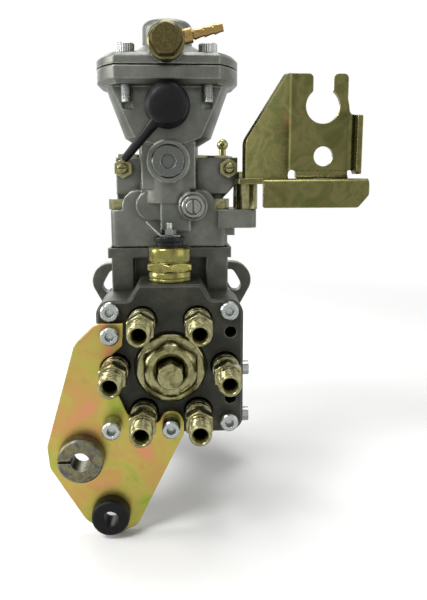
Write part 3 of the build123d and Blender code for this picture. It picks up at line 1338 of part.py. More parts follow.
def rollers():
    low = roller_circle_r - roller_length / 2
    high = roller_circle_r + roller_length / 2
    rolls = []
    for angle in roller_angles():
        roll = rod_x(roller_r, low, high, roller_axis_y())
        roll += rod_x(roller_pin_dia / 2 - bearing_gap, high - 1, ring_outer_r - 0.6, roller_axis_y())
        rolls.append(Rot(0, -angle, 0) * roll)
    return Compound(children=rolls)


def cross_disc():
    front = shaft_claw_front_y
    shape = rod_y(cross_disc_r, front, front + cross_disc_thick)
    gap = bearing_gap
    for angle in (0, 90, 180, 270):
        notch = block(claw_offset - claw_thick / 2 - gap, claw_offset + claw_thick / 2 + gap, front - 1,
                      front + cross_disc_thick + 1, -claw_width / 2 - gap, claw_width / 2 + gap)
        shape -= Rot(0, angle, 0) * notch
    return shape


def cam_plate():
    # Disc with one raised lobe for each outlet, and two claws that reach back to the cross disc.
    crest = cam_crest_y()
    base = crest - cam_lift
    shape = rod_y(cam_plate_r, base - cam_plate_thick, base)
    above = block(0, cam_plate_r, base - weld, crest + 1, -cam_nose_r, cam_nose_r)
    for index in range(outlet_count):
        lobe = rod_x(cam_nose_r, ring_inner_r, cam_plate_r - cam_lobe_edge, crest - cam_nose_r)
        shape += Rot(0, -90 - index * 360 / outlet_count, 0) * (lobe & above)
    for side in (-1, 1):
        shape += block(-claw_width / 2, claw_width / 2, base - 1, cam_claw_rear_y,
                       side * claw_offset - claw_thick / 2, side * claw_offset + claw_thick / 2)
    return shape


def cam_front_y():
    return cam_crest_y() - cam_lift - cam_plate_thick


def pump_plunger():
    foot_front = cam_front_y() - plunger_foot_thick
    shape = rod_y(plunger_foot_r, foot_front, cam_front_y())
    shape += rod_y(plunger_dia / 2, plunger_front_y, foot_front + weld)
    shape -= rod_y(1.5, plunger_front_y - 1, collar_y)
    # Distribution slot and the inlet slots at the front end.
    for index in range(outlet_count):
        slot = block(plunger_dia / 2 - 1, plunger_dia / 2 + 1, plunger_front_y - 1, plunger_front_y + 8,
                     -0.8, 0.8)
        shape -= Rot(0, index * 360 / outlet_count, 0) * slot
    return shape - rod_z(1.2, -plunger_dia, plunger_dia, 0, collar_y)


def spring_yoke():
    # Bridge that the two plunger springs press on.
    rear = cam_front_y() - plunger_foot_thick
    plate = Circle(plunger_foot_r + 4)
    for side in (-1, 1):
        plate += Pos(side * plunger_spring_x, 0) * Circle(plunger_spring_r + 0.8)
    shape = slab_y(make_hull(plate.edges()), rear - yoke_thick, rear)
    return shape - rod_y(plunger_dia / 2 + free_gap, rear - yoke_thick - 1, rear + 1)


def control_collar():
    low = collar_y - collar_length / 2
    high = collar_y + collar_length / 2
    shape = rod_y(collar_r, low, high) - rod_y(plunger_dia / 2 + bearing_gap, low - 1, high + 1)
    groove = rod_y(collar_r + 1, collar_y - collar_groove_width / 2, collar_y + collar_groove_width / 2)
    groove -= rod_y(collar_r - collar_groove_depth, low, high)
    return shape - groove


def governor_lever():
    ball_z = collar_r - collar_groove_depth + ball_dia / 2 + 0.2
    front = collar_y - lever_thick / 2
    rear = collar_y + lever_thick / 2
    shape = block(-lever_half_width, lever_half_width, front, rear, collar_r + 2, lever_top_z)
    shape = fillet(shape.edges().filter_by(Axis.Y), 3)
    shape += rod_x(lever_pin_dia, -lever_half_width, lever_half_width, collar_y, lever_pivot_z)
    reach = chamber_half_width - chamber_wall + 2
    shape += rod_x(lever_pin_dia / 2, -reach, reach, collar_y, lever_pivot_z)
    shape += rod_z(1.2, ball_z, collar_r + 3, 0, collar_y)
    return shape + Pos(0, collar_y, ball_z) * Sphere(ball_dia / 2)


def timing_piston():
    half = timing_piston_length / 2
    shape = rod_x(timing_bore_r - bearing_gap, -half, half, timing_y, timing_z)
    shape = chamfer(shape.edges(), 1.0)
    shape -= rod_x(timing_bore_r - 5, half - 12, half + 1, timing_y, timing_z)
    shape -= rod_z(timing_pin_ball_r + 2 * bearing_gap, timing_z - timing_pin_ball_r - 0.3, timing_z + 6,
                   0, timing_y)
    return shape - rod_z(timing_pin_hole_r, timing_z + timing_pin_ball_r - 0.5, timing_z + timing_bore_r + 1,
                         0, timing_y)


# ---------------------------------------------------------------- springs
def coil(radius, wire, length, turns):
    # Helical spring along +Z from the origin, wire centre on the given radius.
    path = Helix(pitch=length / turns, height=length, radius=radius)
    start = Plane(origin=path @ 0, z_dir=path % 0)
    return sweep(start * Rectangle(wire, wire), path=path, is_frenet=True)


def return_springs():
    springs = []
    valve_rear = head_face_y + holder_seat_depth - 4.5
    for x, z in outlet_places():
        spring = coil(2.9, 0.9, 8.0, 3)
        springs.append(Pos(x, valve_rear, z) * Rot(90, 0, 0) * spring)
    yoke_front = cam_front_y() - plunger_foot_thick - yoke_thick
    for side in (-1, 1):
        length = yoke_front - (housing_front_y + head_bore_depth - 10) - 2
        spring = coil(plunger_spring_r - 1.2, 1.6, length, 5)
        springs.append(Pos(side * plunger_spring_x, yoke_front - 1, 0) * Rot(90, 0, 0) * spring)
    length = timing_boss_half - 4 - timing_piston_length / 2 + 10
    spring = coil(5.0, 1.5, length, 6)
    start_x = timing_piston_length / 2 - 11
    springs.append(Pos(start_x, timing_y, timing_z) * Rot(0, 90, 0) * spring)
    low = tower_top() + gasket_thick + 2.4
    spring = coil(boost_spring_r, boost_spring_wire, boost_cap_top_z - 8 - low, 4)
    springs.append(Pos(0, tower_y, low) * spring)
    front = collar_y + lever_thick / 2 + 1
    spring = coil(governor_spring_r - 0.6, 1.0, throttle_y - 2.5 - front, 7)
    springs.append(Pos(0, front, governor_spring_z) * Rot(-90, 0, 0) * spring)
    return Compound(children=springs)


def throttle_spring():
    low = cover_top_z + throttle_spring_lift
    spring = coil(throttle_spring_r, throttle_spring_wire, throttle_plate_z - low - 2, 4)
    return Pos(0, throttle_y, low) * spring


MAKERS = [pump_housing, timing_covers, housing_screws, distributor_head, center_plug, bleed_bolt,
          delivery_valve_holders, delivery_valves, solenoid_body, solenoid_plunger, solenoid_insulator,
          solenoid_terminal, governor_cover, cover_screws, cover_gasket, diaphragm, boost_cover,
          boost_cover_screws, diaphragm_pin, boost_lever, sensing_pin, pivot_plug, banjo_bolt,
          banjo_fitting, vent_boot, adjusting_screws, lock_nuts, throttle_shaft, throttle_lever,
          cable_bracket, bracket_spacers, support_bracket, support_bracket_screws, split_bush,
          rubber_bush, drive_shaft, shaft_key, shaft_seal, vane_rotor, vanes,
          eccentric_ring, drive_gear, governor_cage, governor_shaft, governor_sleeve,
          roller_ring, rollers, cross_disc, cam_plate, pump_plunger, spring_yoke, control_collar,
          governor_lever, timing_piston, return_springs, throttle_spring]

os.makedirs("parts", exist_ok=True)
for maker in MAKERS:
    print(maker.__name__, flush=True)
    save(maker(), maker.__name__)
for index, angle in enumerate(weight_angles):
    save(flyweight(angle), f"flyweight_{index + 1}")
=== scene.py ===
import math
import bpy
import numpy as np
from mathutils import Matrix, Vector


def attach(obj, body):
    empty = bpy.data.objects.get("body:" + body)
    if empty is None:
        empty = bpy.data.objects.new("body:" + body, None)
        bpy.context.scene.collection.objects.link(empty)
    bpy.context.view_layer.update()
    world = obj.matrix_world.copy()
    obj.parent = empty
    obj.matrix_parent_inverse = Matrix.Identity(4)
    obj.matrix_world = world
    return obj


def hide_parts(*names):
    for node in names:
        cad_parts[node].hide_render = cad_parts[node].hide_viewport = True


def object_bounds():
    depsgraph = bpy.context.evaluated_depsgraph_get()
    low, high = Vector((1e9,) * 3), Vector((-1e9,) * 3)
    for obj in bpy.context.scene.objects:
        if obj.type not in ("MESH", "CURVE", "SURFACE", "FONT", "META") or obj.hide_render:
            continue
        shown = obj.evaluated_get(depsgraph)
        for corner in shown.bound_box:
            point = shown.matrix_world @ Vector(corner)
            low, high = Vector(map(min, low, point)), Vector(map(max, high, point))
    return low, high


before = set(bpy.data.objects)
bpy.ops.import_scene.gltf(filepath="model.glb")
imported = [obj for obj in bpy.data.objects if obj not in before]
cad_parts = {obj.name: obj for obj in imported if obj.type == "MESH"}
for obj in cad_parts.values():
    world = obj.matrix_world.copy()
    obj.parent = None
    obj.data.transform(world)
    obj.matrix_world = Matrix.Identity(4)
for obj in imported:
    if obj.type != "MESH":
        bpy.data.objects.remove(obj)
cadCorners = [list(corner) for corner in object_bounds()]
millimetre = 0.001
scene = bpy.context.scene
print("frame loaded")


# Colours and shader nodes

def linearColor(code):
    # sRGB hex to linear RGBA: c / 12.92 for the darkest values, else ((c + 0.055) / 1.055) to the power 2.4
    parts = [int(code[i:i + 2], 16) / 255 for i in (0, 2, 4)]
    return tuple(p / 12.92 if p <= 0.04045 else ((p + 0.055) / 1.055) ** 2.4 for p in parts) + (1.0,)


def addNode(tree, kind, inputs=None, settings=None, stops=None):
    # one shader node, with its settings, its values or links, and a ramp's stops
    node = tree.nodes.new(kind)
    for key, value in (settings or {}).items():
        setattr(node, key, value)
    for key, value in (inputs or {}).items():
        if isinstance(value, bpy.types.NodeSocket):
            tree.links.new(value, node.inputs[key])
        else:
            node.inputs[key].default_value = value
    if stops:
        elements = node.color_ramp.elements
        while len(elements) < len(stops):
            elements.new(0.5)
        for element, (place, color) in zip(elements, stops):
            element.position = place
            element.color = color
    return node


# The Mix node's colour sockets have names that it shares with others, so they are reached by number.
mixShare, mixFirst, mixSecond, mixResult = 0, 6, 7, 2
colorMix = {"data_type": "RGBA"}
product = {"operation": "MULTIPLY"}
noiseSpread = {"From Min": 0.3, "From Max": 0.7}  # where most of a noise's values lie
shadeSamples = {"samples": 6}


def startMaterial(name):
    material = bpy.data.materials.new(name)
    material.use_nodes = True
    tree = material.node_tree
    tree.nodes.clear()
    coordinates = addNode(tree, "ShaderNodeTexCoord").outputs["Object"]
    return material, tree, coordinates


def finishMaterial(tree, inputs):
    shader = addNode(tree, "ShaderNodeBsdfPrincipled", inputs)
    addNode(tree, "ShaderNodeOutputMaterial", {"Surface": shader.outputs[0]})


def noiseScale(sizeMm):
    # noise frequency in 1/m for features of this size
    return 1 / (sizeMm * millimetre)


def edgeMask(tree, radiusMm, low, high):
    # 1 on rounded-over edges, 0 on flat faces: how far the bevelled normal leans from the face's own
    soft = addNode(tree, "ShaderNodeBevel", {"Radius": radiusMm * millimetre}, shadeSamples)
    face = addNode(tree, "ShaderNodeNewGeometry")
    lean = addNode(tree, "ShaderNodeVectorMath", {0: soft.outputs[0], 1: face.outputs["Normal"]},
                   {"operation": "DOT_PRODUCT"})
    mask = addNode(tree, "ShaderNodeMapRange", {"Value": lean.outputs["Value"], "From Min": high,
                                                "From Max": low, "To Min": 0.0, "To Max": 1.0})
    return mask.outputs["Result"], soft.outputs[0]


def zoneColor(tree, place, color, zone):
    # another colour beyond a plane across one axis, for nodes that hold pieces of two metals
    parts = addNode(tree, "ShaderNodeSeparateXYZ", {"Vector": place})
    beyond = addNode(tree, "ShaderNodeMath", {0: parts.outputs[zone["axis"]], 1: zone["atMm"] * millimetre},
                     {"operation": zone["side"]})
    mixed = addNode(tree, "ShaderNodeMix", {mixShare: beyond.outputs[0], mixFirst: color,
                                            mixSecond: linearColor(zone["color"])}, colorMix)
    return mixed.outputs[mixResult]


def shadedAndWornColor(tree, clean, edge, shadeAndWear):
    # painted shade: the colour darkens towards a shade colour where the surface is sheltered (ambient
    # occlusion), and the edges are rubbed down to the bare metal
    shadeOcclusion = addNode(tree, "ShaderNodeAmbientOcclusion", {"Distance": shadeAndWear["shadeReachMm"] * millimetre},
                      shadeSamples)
    paintedShade = addNode(tree, "ShaderNodeMapRange", {"Value": shadeOcclusion.outputs["AO"], "From Min": shadeAndWear["closed"],
                                                "From Max": shadeAndWear["open"], "To Min": shadeAndWear["shadeStrength"],
                                                "To Max": 0.0})
    # painted shade mixed into the colour by how sheltered the surface is
    shadeMixed = addNode(tree, "ShaderNodeMix", {mixShare: paintedShade.outputs["Result"], mixFirst: clean,
                                             mixSecond: linearColor(shadeAndWear["shadeColor"])}, colorMix)
    bare = addNode(tree, "ShaderNodeMath", {0: edge, 1: shadeAndWear["edgeShare"]}, product)
    rubbed = addNode(tree, "ShaderNodeMix", {mixShare: bare.outputs[0], mixFirst: shadeMixed.outputs[mixResult],
                                             mixSecond: linearColor(shadeAndWear["edge"])}, colorMix)
    return rubbed.outputs[mixResult]


# Finishes: what all materials of a kind share is in the dictionary above each function

# closed and open bound the painted shade, from fully sheltered to open surface
castSkin = {"lean": (0.82, 0.985), "closed": 0.35, "open": 0.85, "patchMm": 2.5, "patchLeast": 0.35,
            "glossier": 0.05, "duller": 0.08, "grainHeight": 0.35}


def castMetal(name, finish):
    # Sand or die cast skin: blotches under a fine grain, painted shade in the corners, edges rubbed in
    # patches.
    material, tree, place = startMaterial(name)
    edge, softNormal = edgeMask(tree, finish["edgeMm"], *castSkin["lean"])
    blotch = addNode(tree, "ShaderNodeTexNoise", {"Vector": place, "Scale": noiseScale(finish["blotchMm"]),
                                                  "Detail": 5.0, "Roughness": 0.62})
    base = addNode(tree, "ShaderNodeValToRGB", {"Fac": blotch.outputs["Fac"]}, stops=[
        (0.30, linearColor(finish["dark"])), (0.50, linearColor(finish["middle"])),
        (0.72, linearColor(finish["light"]))])
    grain = addNode(tree, "ShaderNodeTexNoise", {"Vector": place, "Scale": noiseScale(finish["grainMm"]),
                                                 "Detail": 3.0, "Roughness": 0.6})
    speck = addNode(tree, "ShaderNodeMapRange", {"Value": grain.outputs["Fac"], **noiseSpread,
                                                 "To Min": finish["speck"], "To Max": 1.0})
    grained = addNode(tree, "ShaderNodeMix", {mixShare: 1.0, mixFirst: base.outputs["Color"],
                                              mixSecond: speck.outputs["Result"]},
                      {**colorMix, "blend_type": "MULTIPLY"})
    patch = addNode(tree, "ShaderNodeTexNoise", {"Vector": place, "Scale": noiseScale(castSkin["patchMm"]),
                                                 "Detail": 4.0})
    patchy = addNode(tree, "ShaderNodeMapRange", {"Value": patch.outputs["Fac"], "From Min": 0.35,
                                                  "From Max": 0.60, "To Min": castSkin["patchLeast"],
                                                  "To Max": 1.0})
    patchedEdge = addNode(tree, "ShaderNodeMath", {0: edge, 1: patchy.outputs["Result"]}, product)
    color = shadedAndWornColor(tree, grained.outputs[mixResult], patchedEdge.outputs[0], {**castSkin, **finish})
    rough = addNode(tree, "ShaderNodeMapRange", {"Value": blotch.outputs["Fac"], **noiseSpread,
                                                 "To Min": finish["rough"] + castSkin["duller"],
                                                 "To Max": finish["rough"] - castSkin["glossier"]})
    height = finish["grainMm"] * castSkin["grainHeight"] * millimetre
    bump = addNode(tree, "ShaderNodeBump", {"Height": grain.outputs["Fac"], "Normal": softNormal,
                                            "Strength": finish["bump"], "Distance": height})
    finishMaterial(tree, {"Base Color": color, "Roughness": rough.outputs["Result"],
                          "Metallic": finish["metallic"], "Normal": bump.outputs["Normal"]})
    return material


# shadeStrength, shadeReachMm and shadeColor set the painted shade in sheltered corners
plating = {"lean": (0.80, 0.98), "shadeReachMm": 3, "closed": 0.30, "open": 0.80, "shadeStrength": 0.65,
           "shadeColor": "2a2414", "layMm": 0.5, "glossier": 0.06, "duller": 0.08, "bump": 0.25,
           "heightMm": 0.05}


def platedZinc(name, finish):
    # Chromated zinc plate on steel: a thin film that shifts between olive, straw, green and pink
    # in soft clouds, over the faint lay of the turned or rolled metal, worn to bare zinc at edges.
    material, tree, place = startMaterial(name)
    edge, softNormal = edgeMask(tree, finish["edgeMm"], *plating["lean"])
    cloud = addNode(tree, "ShaderNodeTexNoise", {"Vector": place, "Scale": noiseScale(finish["cloudMm"]),
                                                 "Detail": 4.0, "Roughness": 0.55, "Distortion": 0.8})
    film = addNode(tree, "ShaderNodeValToRGB", {"Fac": cloud.outputs["Fac"]},
                   stops=[(share, linearColor(code)) for share, code in finish["film"]])
    filmColor = film.outputs["Color"]
    if "zone" in finish:
        filmColor = zoneColor(tree, place, filmColor, finish["zone"])
    stain = addNode(tree, "ShaderNodeTexNoise", {"Vector": place, "Scale": noiseScale(finish["stainMm"]),
                                                 "Detail": 6.0, "Roughness": 0.7})
    stainShare = addNode(tree, "ShaderNodeMapRange", {"Value": stain.outputs["Fac"], "From Min": 0.56,
                                                      "From Max": 0.72, "To Min": 0.0,
                                                      "To Max": finish["stain"]})
    stained = addNode(tree, "ShaderNodeMix", {mixShare: stainShare.outputs["Result"], mixFirst: filmColor,
                                              mixSecond: linearColor(finish["stainColor"])}, colorMix)
    # painted shade in the sheltered corners, edges worn to bare zinc
    color = shadedAndWornColor(tree, stained.outputs[mixResult], edge, {**plating, **finish})
    lay = addNode(tree, "ShaderNodeTexNoise", {"Vector": place, "Scale": noiseScale(plating["layMm"]),
                                               "Detail": 2.0})
    rough = addNode(tree, "ShaderNodeMapRange", {"Value": lay.outputs["Fac"], **noiseSpread,
                                                 "To Min": finish["rough"] - plating["glossier"],
                                                 "To Max": finish["rough"] + plating["duller"]})
    bump = addNode(tree, "ShaderNodeBump", {"Height": lay.outputs["Fac"], "Normal": softNormal,
                                            "Strength": plating["bump"],
                                            "Distance": plating["heightMm"] * millimetre})
    finishMaterial(tree, {"Base Color": color, "Roughness": rough.outputs["Result"], "Metallic": 1.0,
                          "Normal": bump.outputs["Normal"]})
    return material


working = {"edgeMm": 0.35, "lean": (0.80, 0.98), "shadeReachMm": 2, "closed": 0.30, "open": 0.80, "shadeStrength": 0.7,
           "shadeColor": "1c1a16", "edgeShare": 0.5, "glossier": 0.05, "duller": 0.07, "bump": 0.2,
           "heightMm": 0.03}


def worked(name, finish):
    # Turned, ground or drawn metal: one colour with fine lay lines, light edges and painted shade in
    # sheltered corners.
    material, tree, place = startMaterial(name)
    edge, softNormal = edgeMask(tree, working["edgeMm"], *working["lean"])
    stretched = addNode(tree, "ShaderNodeMapping", {"Vector": place, "Scale": finish["stretch"]})
    lay = addNode(tree, "ShaderNodeTexNoise", {"Vector": stretched.outputs[0],
                                               "Scale": noiseScale(finish["layMm"]), "Detail": 3.0})
    tone = addNode(tree, "ShaderNodeValToRGB", {"Fac": lay.outputs["Fac"]}, stops=[
        (0.35, linearColor(finish["dark"])), (0.65, linearColor(finish["light"]))])
    toneColor = tone.outputs["Color"]
    if "zone" in finish:
        toneColor = zoneColor(tree, place, toneColor, finish["zone"])
    color = shadedAndWornColor(tree, toneColor, edge, {**working, **finish})
    rough = addNode(tree, "ShaderNodeMapRange", {"Value": lay.outputs["Fac"], **noiseSpread,
                                                 "To Min": finish["rough"] - working["glossier"],
                                                 "To Max": finish["rough"] + working["duller"]})
    bump = addNode(tree, "ShaderNodeBump", {"Height": lay.outputs["Fac"], "Normal": softNormal,
                                            "Strength": working["bump"],
                                            "Distance": working["heightMm"] * millimetre})
    finishMaterial(tree, {"Base Color": color, "Roughness": rough.outputs["Result"], "Metallic": 1.0,
                          "Normal": bump.outputs["Normal"]})
    return material


moulding = {"edgeMm": 0.5, "lean": (0.80, 0.98), "bloomMm": 6, "grainMm": 0.35, "glossier": 0.05,
            "duller": 0.08, "bump": 0.25, "heightMm": 0.06}


def moulded(name, finish):
    # Moulded rubber or thermoset: near black, faint bloom and dust in soft patches, fine spark grain.
    material, tree, place = startMaterial(name)
    softNormal = edgeMask(tree, moulding["edgeMm"], *moulding["lean"])[1]
    bloom = addNode(tree, "ShaderNodeTexNoise", {"Vector": place, "Scale": noiseScale(moulding["bloomMm"]),
                                                 "Detail": 4.0})
    tone = addNode(tree, "ShaderNodeValToRGB", {"Fac": bloom.outputs["Fac"]}, stops=[
        (0.35, linearColor(finish["dark"])), (0.70, linearColor(finish["light"]))])
    grain = addNode(tree, "ShaderNodeTexNoise", {"Vector": place, "Scale": noiseScale(moulding["grainMm"]),
                                                 "Detail": 2.0})
    rough = addNode(tree, "ShaderNodeMapRange", {"Value": bloom.outputs["Fac"], **noiseSpread,
                                                 "To Min": finish["rough"] - moulding["glossier"],
                                                 "To Max": finish["rough"] + moulding["duller"]})
    bump = addNode(tree, "ShaderNodeBump", {"Height": grain.outputs["Fac"], "Normal": softNormal,
                                            "Strength": moulding["bump"],
                                            "Distance": moulding["heightMm"] * millimetre})
    finishMaterial(tree, {"Base Color": tone.outputs["Color"], "Roughness": rough.outputs["Result"],
                          "IOR": finish["ior"], "Normal": bump.outputs["Normal"]})
    return material


# pressure die cast aluminium, shot blasted: mid grey, satin, slightly grainy
housingCast = castMetal("housingDieCast", {
    "dark": "45473f", "middle": "52544c", "light": "63655c", "edge": "a8aaa0", "edgeShare": 0.6,
    "shadeColor": "2b2a25", "shadeStrength": 0.75, "shadeReachMm": 6, "grainMm": 0.7, "blotchMm": 14, "speck": 0.82,
    "edgeMm": 1.5, "rough": 0.42, "metallic": 0.85, "bump": 0.55})
# gravity cast aluminium, bead blasted: lighter and finer than the housing
coverCast = castMetal("coverBeadBlasted", {
    "dark": "585a53", "middle": "666861", "light": "777971", "edge": "c2c4bb", "edgeShare": 0.6,
    "shadeColor": "33322c", "shadeStrength": 0.75, "shadeReachMm": 6, "grainMm": 0.55, "blotchMm": 16, "speck": 0.86,
    "edgeMm": 1.5, "rough": 0.38, "metallic": 0.88, "bump": 0.45})
# sand cast iron, phosphated and oiled: dark warm grey, grainy, its rim rubbed bright
headCast = castMetal("headPhosphatedIron", {
    "dark": "282823", "middle": "37372f", "light": "48483e", "edge": "94948a", "edgeShare": 0.75,
    "shadeColor": "14130f", "shadeStrength": 0.75, "shadeReachMm": 5, "grainMm": 0.8, "blotchMm": 12, "speck": 0.72,
    "edgeMm": 0.9, "rough": 0.46, "metallic": 0.55, "bump": 0.9})
# yellow chromated zinc on turned steel
turnedChromate = platedZinc("turnedYellowChromate", {
    "film": [(0.25, "57543a"), (0.42, "777450"), (0.55, "908c68"), (0.70, "7b7e56"), (0.85, "8d7d62")],
    "cloudMm": 5, "stainMm": 3.5, "stain": 0.35, "stainColor": "3c3822", "edge": "cdc9ac",
    "edgeShare": 0.7, "rough": 0.20, "edgeMm": 0.45})
# the same on the stop screws and nuts; the full-load screw and the terminal's nut are bare steel
screwChromate = platedZinc("screwYellowChromate", {
    "film": [(0.25, "57543a"), (0.42, "777450"), (0.55, "908c68"), (0.70, "7b7e56"), (0.85, "8d7d62")],
    "cloudMm": 5, "stainMm": 3.5, "stain": 0.35, "stainColor": "3c3822", "edge": "cdc9ac",
    "edgeShare": 0.6, "rough": 0.28, "edgeMm": 0.45,
    "zone": {"axis": "Z", "atMm": 97.0, "side": "LESS_THAN", "color": "7c7e7a"}})
# yellow chromated zinc on pressed plate: wide clouds of straw, green and pink
plateChromate = platedZinc("pressedYellowChromate", {
    "film": [(0.30, "84983a"), (0.41, "9c9c48"), (0.50, "aa9c52"), (0.58, "b09052"), (0.68, "c08462")],
    "cloudMm": 30, "stainMm": 9, "stain": 0.35, "stainColor": "8d6a3e", "edge": "d8cf9f",
    "edgeShare": 0.45, "rough": 0.36, "edgeMm": 0.8})
# olive chromate on the folded cable bracket: darker, with a faint rolled lay
foldedChromate = platedZinc("foldedOliveChromate", {
    "film": [(0.25, "4a4a2c"), (0.40, "5a5a36"), (0.52, "6a6640"), (0.62, "565a34"), (0.78, "765c3e")],
    "cloudMm": 18, "stainMm": 7, "stain": 0.3, "stainColor": "3a331d", "edge": "cfc592",
    "edgeShare": 0.7, "rough": 0.24, "edgeMm": 0.6})
# fresh yellow chromate on the solenoid's drawn can
solenoidChromate = platedZinc("solenoidYellowChromate", {
    "film": [(0.25, "4c4a2a"), (0.42, "6c683a"), (0.55, "857f4a"), (0.68, "666e3c"), (0.82, "8a6a48")],
    "cloudMm": 9, "stainMm": 5, "stain": 0.2, "stainColor": "6a5a20", "edge": "d9d298",
    "edgeShare": 0.55, "rough": 0.22, "edgeMm": 0.45})
# old plate on the clamped bush, worn to grey with rust
wornBush = platedZinc("wornPlatedBush", {
    "film": [(0.25, "3f3f3c"), (0.45, "5c5b55"), (0.58, "74704f"), (0.70, "55534b"), (0.85, "7a6248")],
    "cloudMm": 4, "stainMm": 3, "stain": 0.8, "stainColor": "5f3f22", "edge": "b7b2a0",
    "edgeShare": 0.5, "rough": 0.42, "edgeMm": 0.6})
# turned brass, lacquer gone: warm gold
turnedBrass = worked("turnedBrass", {"dark": "7e6438", "light": "9e8452", "edge": "dccb98",
                                     "layMm": 0.5, "stretch": (1, 1, 1), "rough": 0.22,
                                     "zone": {"axis": "X", "atMm": 9.5, "side": "LESS_THAN",
                                              "color": "5c5638"}})
# phosphated bolt, olive brown
oliveBolt = worked("olivePhosphatedBolt", {"dark": "403a24", "light": "5c5434", "edge": "9a906a",
                                           "layMm": 0.6, "stretch": (1, 1, 1), "rough": 0.34})
# bright zinc on cold headed screws
brightZinc = worked("brightZincScrew", {"dark": "858a87", "light": "b2b6b2", "edge": "eceeea",
                                        "layMm": 0.5, "stretch": (1, 1, 1), "rough": 0.26})
# ground and hardened steel of the running parts
groundSteel = worked("groundHardSteel", {"dark": "9b9c9c", "light": "b9bbbb", "edge": "dcdede",
                                         "layMm": 0.3, "stretch": (1, 6, 1), "rough": 0.20})
# turned and blackened steel of the plug
darkSteel = worked("turnedDarkSteel", {"dark": "4c4e4b", "light": "6a6c68", "edge": "d0d2cd",
                                       "layMm": 0.5, "stretch": (1, 1, 1), "rough": 0.28})
# milled gear and cam steel, oiled
milledSteel = worked("milledSteel", {"dark": "7e7e7b", "light": "9a9a96", "edge": "c8c8c2",
                                     "layMm": 0.5, "stretch": (1, 3, 1), "rough": 0.32})
# drawn spring wire, blued
springWire = worked("bluedSpringWire", {"dark": "4b4c50", "light": "66676b", "edge": "9a9b9f",
                                        "layMm": 0.4, "stretch": (1, 1, 1), "rough": 0.3})
# nitrile rubber, press moulded: soft black with a grey bloom
bootRubber = moulded("bootNitrileRubber", {"dark": "020203", "light": "070808", "rough": 0.42, "ior": 1.28})
# phenolic insulator, compression moulded: harder gloss
phenolic = moulded("phenolicInsulator", {"dark": "020202", "light": "070707", "rough": 0.28, "ior": 1.33})
print("materials made")

nodeMaterials = {
    housingCast: ["pump_housing", "timing_covers"],
    coverCast: ["governor_cover", "boost_cover"],
    headCast: ["distributor_head"],
    turnedChromate: ["center_plug", "bleed_bolt", "delivery_valve_holders", "bracket_spacers",
                     "cover_screws", "throttle_lever"],
    screwChromate: ["adjusting_screws", "lock_nuts"],
    plateChromate: ["support_bracket"],
    foldedChromate: ["cable_bracket"],
    solenoidChromate: ["solenoid_body"],
    wornBush: ["split_bush"],
    turnedBrass: ["banjo_fitting"],
    oliveBolt: ["banjo_bolt"],
    darkSteel: ["pivot_plug"],
    brightZinc: ["housing_screws", "boost_cover_screws", "support_bracket_screws", "solenoid_terminal"],
    groundSteel: ["drive_shaft", "pump_plunger", "timing_piston", "governor_shaft", "throttle_shaft",
                  "diaphragm_pin", "sensing_pin", "delivery_valves", "solenoid_plunger", "rollers",
                  "governor_sleeve", "control_collar"],
    milledSteel: ["shaft_key", "vane_rotor", "vanes", "eccentric_ring", "drive_gear", "governor_cage",
                  "roller_ring", "cross_disc", "cam_plate", "spring_yoke", "governor_lever", "boost_lever",
                  "flyweight_1", "flyweight_2", "flyweight_3", "flyweight_4"],
    springWire: ["return_springs", "throttle_spring"],
    bootRubber: ["vent_boot", "rubber_bush", "shaft_seal", "diaphragm", "cover_gasket"],
    phenolic: ["solenoid_insulator"],
}
for material, names in nodeMaterials.items():
    for name in names:
        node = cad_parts[name]
        node.data.materials.clear()
        node.data.materials.append(material)
print("CAD nodes dressed")


# Surfaces: grids of points in mm, each worked out whole from two parameters

def gridFaces(rows, columns, closedRows):
    # quads of a grid of points whose last column meets its first, and so do its rows where it is a ring
    index = np.arange(rows * columns).reshape(rows, columns)
    if closedRows:
        index = np.vstack([index, index[:1]])
    index = np.hstack([index, index[:, :1]])
    corners = [index[:-1, :-1], index[1:, :-1], index[1:, 1:], index[:-1, 1:]]
    return np.stack(corners, axis=-1).reshape(-1, 4)


def enclosedVolume(points, faces):
    # signed volume of a closed surface, positive when its faces point outwards: the sum over both
    # halves of each quad of a . (b x c) / 6
    a, b, c, d = (points[faces[:, k]] for k in range(4))
    halves = np.einsum("ij,ij->i", a, np.cross(b, c)) + np.einsum("ij,ij->i", a, np.cross(c, d))
    return float(halves.sum() / 6)


def makePiece(name, surfaces, material, body, replaced, sharpDegrees=38):
    # joins closed grids (in mm) into one mesh in metres, faces outwards, and lets it ride on its body
    points, faces, first = [], [], 0
    for grid, closedRows in surfaces:
        rows, columns = grid.shape[:2]
        flat = grid.reshape(-1, 3) * millimetre
        quads = gridFaces(rows, columns, closedRows)
        if enclosedVolume(flat - flat.mean(0), quads) < 0:
            quads = quads[:, ::-1]
        points.append(flat)
        faces.append(quads + first)
        first += rows * columns
    return addPiece(name, np.vstack(points), np.vstack(faces), material, body, replaced, sharpDegrees)


def addPiece(name, points, faces, material, body, replaced, sharpDegrees):
    # one mesh object, smooth but for its sharp edges, that rides on a body and stands in for CAD nodes
    mesh = bpy.data.meshes.new(name)
    mesh.from_pydata(points.tolist(), [], faces.tolist())
    mesh.validate()
    mesh.materials.append(material)
    mesh.polygons.foreach_set("use_smooth", np.ones(len(mesh.polygons), bool))
    mesh.set_sharp_from_angle(angle=math.radians(sharpDegrees))
    piece = bpy.data.objects.new(name, mesh)
    scene.collection.objects.link(piece)
    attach(piece, body)
    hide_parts(*replaced)
    return piece


def turnedSurface(rows, around, origin, axis, side, turn=0.0):
    # surface of revolution: each row is (place along the axis, radius or one radius per angle)
    angles = np.linspace(0, 2 * math.pi, around, endpoint=False) + turn
    along = np.array([row[0] for row in rows], float)
    radii = np.array([np.broadcast_to(row[1], around) for row in rows], float)
    axis, side = np.array(axis, float), np.array(side, float)
    other = np.cross(axis, side)
    spokes = np.cos(angles)[:, None] * side + np.sin(angles)[:, None] * other
    return np.array(origin, float) + along[:, None, None] * axis + radii[:, :, None] * spokes


